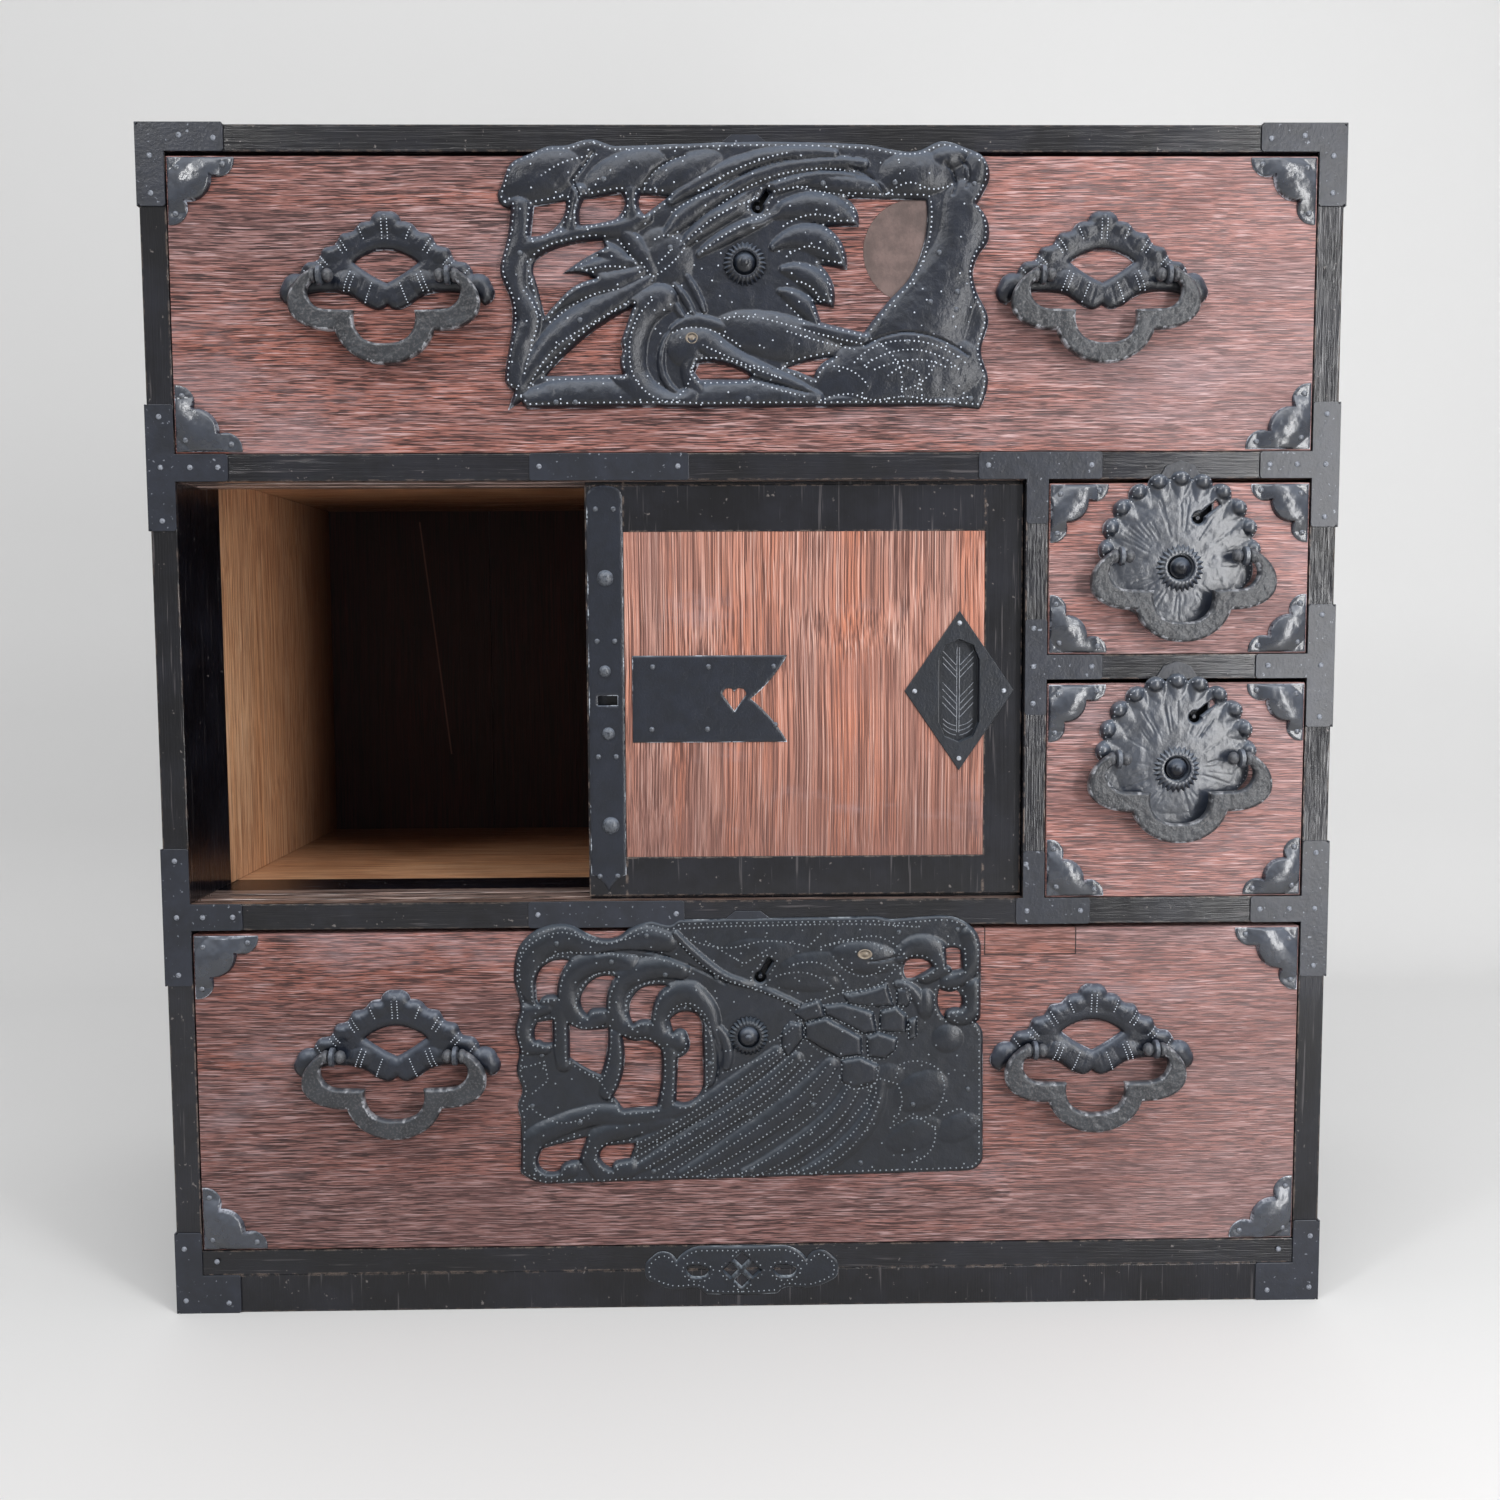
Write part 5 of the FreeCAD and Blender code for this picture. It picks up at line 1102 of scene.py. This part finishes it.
def pierced_plate(name, material, relief, layout, lines, nails, edge_radius, dot_wear_and_glint):
    """Wide lock plate with its packed outline and openings, chased, dotted and nailed."""
    pile = Pile()
    node = name + "_lock_plate"
    group = [g for g in sheets_of(node_loops(node, FRONT - PLATE_T)) if area(g[0]) > WIDE_PLATE_AREA][0]
    bx, bz, button_r, collar_r = BUTTONS[name]
    holes = [g for g in group[1:] if np.linalg.norm(g.mean(0) - (bx, bz)) > 12]
    relief.flats += [(*g.mean(0), KEYHOLE_CALM) for g in holes if area(g) < KEYHOLE_AREA]
    group = [group[0]] + holes + [circle(bx, bz, button_r + 0.3)]
    height, rings, near = iron_sheet(pile, group, FRONT, relief, 1.1, rim=1.0, radius=edge_radius, wear_gain=1.2)
    dots = [inset_dots(rings, near, DOT_INSET, DOT_PITCH)]
    dots += [dot_line(laid(line, layout), DOT_PITCH) for line in lines]
    dots = np.concatenate(dots + [stipple(group[0], STIPPLE_PITCH)])
    dots = dots[inside(dots, rings)]
    dots = dots[near(dots) > DOT_CLEARANCE]
    dots = dots[np.linalg.norm(dots - (bx, bz), axis=1) > collar_r + COLLAR_CLEARANCE]
    punch(pile, dots, height, FRONT, 0.72, 0.5, dot_wear_and_glint)
    nail_heads(pile, laid(nails, layout), height, FRONT, 2.0, 1.3)
    collar(pile, bx, FRONT - relief.base - 1.0, bz, collar_r)
    pile.piece(node + "_work", name, material, "iron", (node,))


CRANE_SWELLS = [
    (170, 138, 128, 72, 5.2, 14), (425, 138, 128, 62, 5.0, 20), (600, 135, 120, 50, 4.4, 22),
    (1285, 140, 112, 66, 5.6, 0), (1065, 168, 140, 30, 4.0, -6), (1375, 95, 60, 34, 4.6, 10),
    (1470, 120, 44, 60, 4.8, -20), (1420, 320, 55, 110, 3.2, 0), (870, 612, 190, 70, 5.0, -12),
    (612, 640, 74, 66, 5.4, 0), (1240, 715, 255, 118, 6.0, 6), (1080, 805, 70, 30, 3.6, 0),
    (1220, 815, 70, 28, 3.6, 0), (1350, 812, 66, 28, 3.6, 0), (540, 380, 80, 90, 3.4, 40)]
CRANE_RIDGES = [
    (4.6, [(560, 215, 14), (680, 150, 22), (840, 98, 24), (1040, 84, 12)]),
    (4.2, [(620, 240, 12), (760, 168, 20), (930, 120, 20), (1130, 112, 12)]),
    (3.8, [(720, 238, 10), (850, 186, 18), (980, 150, 16), (1100, 150, 8)]),
    (4.6, [(110, 235, 26), (112, 330, 34), (84, 400, 36), (92, 480, 32), (132, 560, 30), (98, 650, 36), (92, 745, 34)]),
    (4.2, [(120, 352, 26), (220, 332, 24), (320, 302, 22), (420, 292, 22), (480, 262, 20)]),
    (3.6, [(262, 322, 22), (275, 250, 20), (290, 195, 22)]),
    (3.6, [(440, 285, 24), (442, 230, 22), (436, 190, 24)]),
    (4.4, [(238, 440, 4), (320, 415, 20), (400, 398, 22), (450, 400, 12)]),
    (4.6, [(352, 348, 14), (385, 380, 26), (424, 400, 16)]),
    (4.8, [(182, 562, 4), (230, 500, 22), (310, 462, 32), (400, 448, 30), (470, 420, 18)]),
    (5.2, [(84, 806, 4), (150, 690, 26), (240, 600, 36), (340, 535, 36), (440, 480, 26), (500, 440, 12)]),
    (4.2, [(410, 300, 12), (450, 345, 24), (500, 420, 20)]),
    (4.4, [(540, 320, 10), (600, 262, 24), (680, 212, 20), (760, 184, 8)]),
    (4.2, [(590, 350, 10), (660, 290, 22), (750, 240, 20), (860, 200, 8)]),
    (3.6, [(640, 372, 8), (720, 322, 18), (810, 280, 16), (900, 236, 6)]),
    (2.4, [(535, 486, 8), (566, 520, 10), (590, 552, 7)]),
    (2.4, [(566, 460, 8), (600, 506, 10), (622, 545, 7)]),
    (2.4, [(602, 436, 8), (634, 490, 10), (654, 536, 7)]),
    (5.0, [(850, 262, 10), (930, 236, 28), (1030, 246, 34), (1112, 296, 6)]),
    (5.0, [(860, 352, 10), (930, 322, 26), (1010, 340, 36), (1078, 428, 6)]),
    (4.6, [(890, 416, 10), (950, 432, 26), (1000, 470, 28), (1036, 538, 6)]),
    (4.0, [(880, 480, 8), (930, 505, 22), (970, 540, 22), (996, 586, 6)]),
    (6.4, [(530, 500, 36), (452, 548, 48), (424, 640, 46), (432, 730, 44), (490, 800, 42), (570, 822, 40),
           (620, 790, 30)]),
    (2.6, [(560, 590, 6), (528, 650, 9), (532, 730, 10), (584, 786, 8)]),
    (3.2, [(560, 592, 10), (620, 568, 18), (690, 580, 16), (740, 596, 6)]),
    (6.0, [(650, 630, 40), (740, 684, 30), (840, 724, 22), (930, 756, 14), (984, 780, 8)]),
    (4.6, [(618, 690, 30), (620, 740, 26), (650, 790, 20)]),
    (3.8, [(900, 572, 8), (1010, 596, 20), (1130, 622, 20)]),
    (5.4, [(1440, 232, 60), (1420, 330, 56), (1390, 430, 70), (1330, 540, 90), (1280, 620, 110)]),
    (5.0, [(130, 805, 30), (240, 790, 44), (360, 790, 44), (470, 800, 36)]),
    (5.0, [(640, 800, 36), (760, 790, 44), (880, 795, 40), (980, 800, 26)])]
CRANE_GROOVES = [
    (1.8, [(300, 232, 5), (268, 160, 5), (330, 78, 5)]), (1.6, [(470, 205, 5), (505, 140, 5), (600, 88, 5)]),
    (1.4, [(700, 190, 4), (800, 130, 4), (920, 100, 4)]), (1.4, [(1190, 196, 5), (1150, 150, 5), (1080, 120, 5)]),
    (1.6, [(1392, 200, 5), (1400, 150, 5), (1370, 112, 5)]), (1.4, [(1432, 180, 4), (1440, 130, 4), (1412, 96, 4)]),
    (1.2, [(640, 660, 4), (740, 712, 4), (850, 748, 4), (960, 778, 4)]),
    (1.6, [(1130, 640, 5), (1230, 604, 5), (1350, 620, 5), (1440, 668, 5)])]
CRANE_LINES = [
    [(180, 150), (250, 108), (340, 84)], [(300, 232), (268, 160), (330, 78)], [(470, 205), (505, 140), (600, 88)],
    [(640, 190), (760, 128), (900, 84)], [(700, 230), (830, 160), (960, 130), (1100, 132)],
    [(700, 262), (820, 206), (960, 176)], [(930, 178), (1040, 196), (1180, 206)],
    [(1200, 196), (1260, 170), (1330, 186), (1390, 170)], [(560, 250), (640, 210), (740, 190)],
    [(610, 330), (700, 262), (800, 216)], [(650, 366), (750, 300), (850, 256)],
    [(210, 560), (300, 500), (400, 476)], [(130, 760), (220, 640), (330, 570), (430, 512)],
    [(280, 430), (350, 412), (420, 412)], [(400, 330), (440, 380), (470, 440)],
    [(510, 330), (560, 320), (600, 350), (560, 400), (500, 440), (470, 400)], [(520, 400), (560, 360)],
    [(890, 290), (960, 262), (1040, 270)], [(900, 378), (960, 352), (1020, 372)],
    [(930, 452), (970, 470), (1000, 510)], [(900, 520), (930, 545), (950, 575)],
    [(500, 510), (452, 570), (432, 650), (444, 730), (500, 790), (570, 806)],
    [(560, 600), (620, 586), (690, 600), (760, 640)], [(640, 690), (740, 724), (850, 762), (950, 790)],
    [(620, 700), (600, 760), (560, 800)], [(650, 640), (760, 690), (880, 736)],
    [(700, 560), (800, 556), (900, 580), (1010, 610), (1120, 634)], [(900, 600), (1000, 628), (1100, 650)],
    [(800, 700), (900, 706), (1000, 690)], [(160, 420), (120, 480), (160, 560), (140, 640), (120, 720)],
    [(1100, 690), (1170, 640), (1260, 628), (1360, 648), (1430, 690)],
    [(1130, 700), (1200, 664), (1280, 654), (1360, 676), (1410, 710)],
    [(1160, 712), (1230, 690), (1300, 684), (1370, 704)], [(1040, 700), (1100, 720), (1140, 760)],
    [(1200, 730), (1240, 700), (1290, 720), (1300, 770)], [(1150, 620), (1230, 700), (1240, 790)],
    [(1340, 690), (1310, 740), (1240, 770)], [(1000, 800), (1080, 782), (1160, 800), (1250, 790), (1340, 800),
                                              (1440, 790)]]
CRANE_NAILS = [(362, 160), (1007, 170), (1220, 168), (1456, 170), (112, 372), (555, 355), (287, 567), (1352, 370),
               (1405, 485), (1325, 515), (1403, 537), (1257, 632), (782, 797), (1450, 795), (212, 805), (270, 805)]
CRANE_EYE = (617, 620)
TURTLE_EYE = (1137, 171)

WAVE_SWELLS = [
    (1316, 604, 92, 60, 2.0, 28), (1196, 560, 66, 42, 1.5, 20), (1296, 744, 96, 50, 1.6, 24),
    (1436, 722, 76, 44, 1.6, 20),
    (1330, 330, 30, 50, 3.0, 0), (1400, 440, 50, 46, 2.6, 0), (1145, 170, 30, 26, 3.2, 0),
    (1140, 185, 112, 52, 3.4, -6), (960, 215, 130, 50, 2.2, 8), (800, 170, 120, 50, 1.6, 0),
    (940, 250, 120, 40, 2.0, -6)]
WAVE_RIDGES = [
    (3.0, [(545, 105, 10), (625, 185, 12), (700, 240, 12), (800, 272, 10), (930, 330, 8)]),
    (3.6, [(160, 308, 24), (110, 300, 28), (82, 240, 30), (100, 165, 32), (180, 115, 34), (300, 140, 32),
           (440, 120, 34), (520, 130, 26)]),
    (3.6, [(310, 360, 24), (250, 385, 28), (205, 330, 30), (205, 245, 30), (260, 200, 30), (400, 200, 28)]),
    (3.6, [(440, 395, 26), (380, 395, 28), (345, 330, 30), (370, 250, 30), (440, 218, 30), (560, 220, 24)]),
    (3.8, [(548, 440, 28), (498, 428, 28), (480, 370, 30), (520, 305, 32), (590, 290, 32), (640, 340, 28),
           (652, 440, 26), (640, 560, 22)]),
    (3.4, [(130, 455, 20), (76, 450, 24), (60, 390, 26), (80, 345, 24), (140, 330, 18)]),
    (3.2, [(182, 330, 24), (184, 430, 24), (190, 510, 20)]),
    (3.2, [(352, 420, 24), (352, 510, 24), (325, 600, 20)]),
    (3.2, [(522, 470, 24), (524, 560, 24), (508, 650, 20)]),
    (3.4, [(205, 838, 24), (130, 858, 26), (80, 815, 28), (90, 750, 28), (170, 705, 28), (280, 672, 28),
           (430, 676, 28), (580, 640, 24)]),
    (3.4, [(392, 838, 26), (310, 858, 26), (268, 800, 26), (300, 740, 28), (400, 712, 26), (520, 690, 20)]),
    (3.4, [(1250, 180, 20), (1290, 150, 26), (1360, 160, 28), (1382, 215, 26), (1330, 240, 24)]),
    (3.4, [(1470, 120, 26), (1476, 200, 26), (1440, 250, 22), (1400, 262, 20)]),
    (3.4, [(1480, 280, 24), (1478, 350, 24), (1430, 372, 22), (1406, 362, 18)]),
    (2.8, [(340, 800, 10), (520, 712, 20), (700, 600, 26), (860, 480, 20)]),
    (2.8, [(400, 850, 12), (580, 750, 24), (760, 640, 28), (920, 500, 20)]),
    (2.8, [(560, 860, 14), (740, 760, 28), (900, 650, 30), (1030, 520, 20)]),
    (2.8, [(760, 860, 16), (920, 780, 28), (1060, 660, 26), (1110, 560, 18)]),
    (2.6, [(950, 860, 16), (1080, 780, 26), (1170, 660, 22), (1190, 570, 14)]),
    (2.8, [(1240, 268, 10), (1290, 290, 16), (1318, 350, 12)]),
    (2.6, [(640, 380, 14), (700, 440, 16), (702, 520, 12)])]
WAVE_GROOVES = [
    (1.2, [(300, 165, 5), (450, 160, 5), (600, 210, 5), (700, 262, 5)]),
    (1.2, [(620, 360, 5), (668, 440, 5), (672, 560, 5)]),
    (1.2, [(1150, 196, 4), (1200, 190, 5), (1254, 176, 4)])]
WAVE_SHELL = [
    [(950, 387), (1015, 371), (1127, 431), (1129, 486), (1057, 496), (951, 435)],
    [(1015, 359), (1008, 332), (1076, 326), (1165, 355), (1176, 416), (1134, 421)],
    [(918, 358), (929, 335), (992, 315), (1005, 333), (1012, 367), (950, 382)],
    [(1189, 350), (1239, 338), (1270, 364), (1268, 416), (1207, 416), (1184, 410)],
    [(1144, 431), (1181, 417), (1241, 437), (1234, 474), (1202, 500), (1149, 494)],
    [(1065, 504), (1123, 495), (1181, 520), (1176, 573), (1102, 593), (1066, 572)],
    [(876, 413), (903, 382), (942, 388), (944, 434), (897, 491), (877, 465)],
    [(1070, 297), (1149, 285), (1207, 265), (1228, 333), (1181, 337), (1086, 325)],
    [(1238, 281), (1275, 278), (1286, 317), (1270, 338), (1239, 333)],
    [(1275, 380), (1302, 370), (1302, 432), (1277, 443)]]
WAVE_LINES = [
    [(60, 240), (70, 160), (130, 110), (190, 96), (290, 122), (390, 118), (470, 92), (540, 120), (620, 196), (700, 246),
     (800, 280), (930, 335)],
    [(130, 290), (116, 230), (150, 178), (260, 160), (400, 172), (520, 190), (600, 230)],
    [(250, 330), (246, 280), (290, 232), (350, 222)], [(390, 340), (398, 290), (440, 262), (500, 262)],
    [(520, 360), (545, 330), (600, 322), (640, 362), (656, 440), (650, 560), (610, 620)],
    [(700, 470), (760, 460), (850, 440), (930, 380)], [(690, 540), (800, 500), (900, 450)],
    [(1029, 144), (1091, 134), (1165, 140), (1217, 166), (1259, 172)],
    [(1207, 207), (1133, 243), (1070, 217), (1039, 180)],
    [(1236, 560), (1250, 520), (1310, 510), (1376, 540), (1390, 610), (1350, 680), (1290, 690)],
    [(1150, 600), (1180, 560), (1240, 580), (1256, 640), (1230, 700)],
    [(1220, 720), (1290, 676), (1360, 720), (1350, 790), (1290, 830)], [(1390, 680), (1440, 660), (1490, 700)],
    [(560, 90), (700, 84), (860, 82), (1020, 80), (1180, 82), (1300, 90)],
    [(580, 120), (700, 150), (830, 130), (960, 150), (1000, 110)], [(900, 210), (1000, 200), (1060, 240), (1090, 290)],
    [(960, 330), (1080, 290), (1180, 270), (1240, 210)], [(1000, 150), (1080, 130), (1180, 120), (1260, 170)],
    [(860, 240), (960, 230), (1040, 280)], [(640, 130), (760, 200), (840, 150)],
    [(60, 520), (130, 500), (140, 560), (90, 600)],
    [(210, 500), (300, 560), (340, 620)], [(80, 640), (180, 690), (300, 640)], [(1400, 300), (1440, 330), (1420, 380)]]
TAIL_LINES = np.array([
    [(380, 780), (560, 682), (740, 566), (870, 476)], [(420, 822), (620, 706), (800, 594), (910, 500)],
    [(500, 866), (700, 736), (880, 616), (990, 510)], [(660, 868), (850, 760), (1010, 640), (1060, 560)],
    [(850, 868), (1010, 780), (1130, 650), (1160, 590)], [(1010, 866), (1110, 800), (1170, 720), (1200, 640)]], float)
WAVE_NAILS = [(175, 130), (455, 108), (512, 230), (673, 240), (345, 188), (775, 670), (975, 645), (1465, 600),
              (470, 850), (780, 845), (1125, 830), (240, 690), (90, 640), (1245, 107), (1430, 100), (1290, 645),
              (650, 508), (122, 480)]


# Rings of an eye, from its foot: share of its radius, place along y. Then the tip of its pupil.
EYE_PROFILE = [(0.62, 0.4), (1.0, 0.3), (1.0, -0.5), (0.86, -0.9), (0.70, -0.6), (0.62, -0.2), (0.40, -0.3),
               (0.26, -0.8)]
EYE_TIP = -0.9


def eye(name, body, layout, place, width, height, rise):
    """Oval metal ring with a pupil, let into a beaten head."""
    x, z = laid([place], layout)[0]
    sides = 24
    front = FRONT - rise
    angles = [2 * math.pi * k / sides for k in range(sides)]
    points = [(x + share * width * math.cos(a), front + dy, z + share * height * math.sin(a))
              for share, dy in EYE_PROFILE for a in angles]
    points += [(x, front + EYE_TIP, z), (x, front + EYE_PROFILE[0][1], z)]
    rows, tip = len(EYE_PROFILE), len(points) - 2
    last = (rows - 1) * sides
    faces = bands(rows, sides)
    for k in range(sides):
        faces += [(last + k, last + (k + 1) % sides, tip), (k, tip + 1, (k + 1) % sides)]
    pile = Pile()
    pile.add(points, faces, 0.5)
    pile.piece(name, body, EYE_BRASS, "iron")


def crane_plate():
    relief = Relief(3.4, hammer=0.24, seed=21)
    chase(relief, CRANE_LAYOUT, CRANE_SWELLS, CRANE_RIDGES, CRANE_GROOVES)
    pierced_plate("top_drawer", IRON, relief, CRANE_LAYOUT, CRANE_LINES, CRANE_NAILS, 5.5, 1.0)
    eye("crane_eye", "top_drawer", CRANE_LAYOUT, CRANE_EYE, 4.6, 4.2, 8.0)


def wave_plate():
    relief = Relief(2.4, hammer=0.16, seed=22)
    chase(relief, WAVE_LAYOUT, WAVE_SWELLS, WAVE_RIDGES, WAVE_GROOVES)
    for cell in WAVE_SHELL:
        relief.plates.append((laid(cell, WAVE_LAYOUT), 3.0, 3.6))
    borders = [cell + cell[:1] for cell in WAVE_SHELL]
    hairs = [one + (two - one) * share
             for one, two in zip(TAIL_LINES[:-1], TAIL_LINES[1:]) for share in (0, 1 / 3, 2 / 3)]
    lines = WAVE_LINES + borders + hairs
    pierced_plate("base_drawer", WAVE_IRON, relief, WAVE_LAYOUT, lines, WAVE_NAILS, 3.2, 0.8)
    eye("turtle_eye", "base_drawer", WAVE_LAYOUT, TURTLE_EYE, 5.4, 3.8, 6.0)


for name in DRAWERS:
    corner_irons(name)
    button(name, *BUTTONS[name][:3])
for name in WIDE_DRAWERS:
    handle_plates(name, BAIL_Z[name])
    for side in ("_bail_left", "_bail_right"):
        bail(name + side, centre_of(name + side)[0], BAIL_Z[name])
for name in SMALL_DRAWERS:
    flower_plate(name)
    bail(name + "_bail", centre_of(name + "_bail")[0], BAIL_Z[name])
crane_plate()
wave_plate()


# ---- door irons ----------------------------------------------------------------
BAND_X = centre_of("front_door_lock_band")[0]
BAND_STUDS = [(BAND_X, 548, 6.0, 4.0), (BAND_X - 1, 480, 4.4, 3.0), (BAND_X + 1, 434, 4.8, 3.2),
              (BAND_X + 2, 366, 6.4, 4.2)]
BAND_NAILS = [(BAND_X + side * 6.5, z) for z in (598, 502, 417, 328) for side in (-1, 1)]
STRAP_NAILS = [(-70, 483), (-29, 483), (19, 483), (-71, 437), (-30, 437), (20, 440)]


# Nails of the case's straps: those in pairs left and right, then the others.
PAIRED_NAILS = [(376, 858), (400, 860), (421, 846), (421, 820), (421, 664), (421, 628), (421, 590), (380, 628),
                (400, 628), (421, 343), (421, 301), (421, 258), (380, 301), (402, 301), (424, 50), (424, 10),
                (392, 8), (400, 40)]
OTHER_NAILS = [(421, 519), (421, 482), (421, 444), (382, 482), (-150, 628), (-50, 628), (-156, 301), (-54, 301),
               (175, 628), (250, 628), (209, 510), (209, 482), (209, 455), (252, 482), (205, 336), (206, 301),
               (246, 301)]


def frame_nails():
    pile = Pile()
    y = node_box("frame_irons")[1]
    for x, z in [(side * x, z) for x, z in PAIRED_NAILS for side in (-1, 1)] + OTHER_NAILS:
        dome(pile, x, y, z, 2.0, 1.2, 12, 0.75)
    pile.piece("frame_nails", "case", STRAP_IRON, "iron")


PLAQUE_SWELL = (-7, 29, 66, 22, 1.8)
DISH_DEPTH = 6.5          # of the finger pulls
LEAF_TOPS = (29.5, 25.0, 20.5, 6.0, 1.0, -4.0, -9.0)


def pull_leaf(door, x, z):
    """Leaf chased in the dish of a pull, and the pull's four nails."""
    pile = Pile()
    y = node_box(door + "_pull")[1]
    floor = y + DISH_DEPTH
    for side in (-1, 1):
        rib(pile, [(x + side * 0.9, z + 32), (x + side * 1.0, z), (x + side * 0.8, z - 31)], 0.34, floor, 0.66)
        for top in LEAF_TOPS:
            rib(pile, [(x + side * 11.5, z + top), (x + side * 1.6, z + top - 10.5)], 0.30, floor, 0.66)
        for low in (-21.0, -24.5, -28.0):
            curl = [(x + side * 11.0, z + low), (x + side * 6.0, z + low - 3.8), (x + side * 1.2, z + low - 5.2)]
            rib(pile, curl, 0.30, floor, 0.66)
    for u, v in ((0, 50), (0, -50), (-33, 0), (33, 0)):
        dome(pile, x + u, y, z + v, 1.8, 1.1, 12, 0.8)
    pile.piece(door + "_pull_leaf", door, LOCK_IRON, "iron")


plain_irons("base_plaque", "base_plaque_work", "case", WAVE_IRON, dots=True, swells=[PLAQUE_SWELL])
plain_irons("front_door_lock_band", "lock_band_work", "front_door", IRON, BAND_NAILS, studs=BAND_STUDS)
plain_irons("front_door_strap", "door_strap_work", "front_door", IRON, STRAP_NAILS)
frame_nails()
for door in ("front_door", "rear_door"):
    pull_leaf(door, *centre_of(door + "_pull"))


# ---- studio --------------------------------------------------------------------
def backdrop():
    """Pale floor that curves up into a wall behind the chest, clear when seen from its back."""
    half, near, foot, radius, top = 4.0, -3.5, 0.80, 0.22, 3.2
    section = [(near, 0.0), (foot, 0.0)]
    section += [(foot + radius * math.sin(a), radius - radius * math.cos(a))
                for a in (math.pi / 2 * k / 12 for k in range(1, 13))]
    section.append((foot + radius, top))
    points = [(x, y, z) for y, z in section for x in (-half, half)]
    faces = [(2 * k, 2 * k + 1, 2 * k + 3, 2 * k + 2) for k in range(len(section) - 1)]
    mesh = bpy.data.meshes.new("backdrop")
    mesh.from_pydata(points, [], faces)
    mesh.shade_smooth()
    piece = bpy.data.objects.new("backdrop", mesh)
    bpy.context.scene.collection.objects.link(piece)
    s = Shader("paper")
    colour = s.mix(s.noise(s.scaled(1.2, 1.2, 1.2), 2.0), srgb(226, 226, 226), srgb(230, 230, 230))
    mesh.materials.append(s.finish(colour, 0.9))
    shown = s.tree.nodes["Material Output"].inputs["Surface"]
    rear = s.node("ShaderNodeNewGeometry").outputs["Backfacing"]
    clear = s.node("ShaderNodeBsdfTransparent").outputs[0]
    s.put(shown, s.node("ShaderNodeMixShader", {0: rear, 1: shown.links[0].from_socket, 2: clear}).outputs[0])


def lamp(name, place, aim, size, power):
    """Rectangular lamp at a place in metres, turned towards its aim."""
    light = bpy.data.lights.new(name, "AREA")
    light.shape = "RECTANGLE"
    light.size, light.size_y = size
    light.energy = power
    holder = bpy.data.objects.new(name, light)
    holder.location = place
    holder.rotation_euler = (Vector(aim) - Vector(place)).to_track_quat("-Z", "Y").to_euler()
    bpy.context.scene.collection.objects.link(holder)


CAMERA_PLACE = (-17.8, -1304.35, 509.7)
CAMERA_TURN = (4.57, 0.99, -0.28)      # degrees down, to the right, and rolled


def camera():
    data = bpy.data.cameras.new("camera")
    data.sensor_width = 36.0
    data.lens = 36.0
    pitch, yaw, roll = (math.radians(a) for a in CAMERA_TURN)
    forward = Vector((math.sin(yaw) * math.cos(pitch), math.cos(yaw) * math.cos(pitch), -math.sin(pitch)))
    right = Vector((math.cos(yaw), -math.sin(yaw), 0.0))
    up = right.cross(forward)
    tilted = right * math.cos(roll) + up * math.sin(roll)
    upward = up * math.cos(roll) - right * math.sin(roll)
    holder = bpy.data.objects.new("camera", data)
    turn = Matrix((tilted, upward, -forward)).transposed().to_4x4()
    holder.matrix_world = Matrix.Translation(Vector(CAMERA_PLACE) * MM) @ turn
    bpy.context.scene.collection.objects.link(holder)
    bpy.context.scene.camera = holder


def sky():
    """White surroundings, a little brighter overhead."""
    world = bpy.data.worlds.new("world")
    world.use_nodes = True
    tree = world.node_tree
    direction = tree.nodes.new("ShaderNodeTexCoord").outputs["Generated"]
    upward = tree.nodes.new("ShaderNodeSeparateXYZ")
    level = tree.nodes.new("ShaderNodeMapRange")
    for socket, value in (("From Min", 0.0), ("From Max", 0.8), ("To Min", 0.50), ("To Max", 0.70)):
        level.inputs[socket].default_value = value
    tree.links.new(direction, upward.inputs[0])
    tree.links.new(upward.outputs[2], level.inputs["Value"])
    tree.links.new(level.outputs[0], tree.nodes["Background"].inputs["Strength"])
    tree.nodes["Background"].inputs["Color"].default_value = (1, 1, 1, 1)
    bpy.context.scene.world = world


backdrop()
lamp("key", (0.0, -1.5, 2.5), (0, 0, 0.45), (2.0, 1.0), 16)
lamp("sheen", (1.04, -1.6, 0.62), (0.38, -0.2, 0.5), (0.24, 1.3), 17)
lamp("glint_left", (-1.1, -1.5, 1.7), (0, 0, 0.5), (0.25, 0.25), 7)
lamp("glint_right", (1.2, -1.4, 1.7), (0, 0, 0.5), (0.25, 0.25), 6)
sky()
camera()
bpy.context.scene.view_settings.view_transform = "Standard"
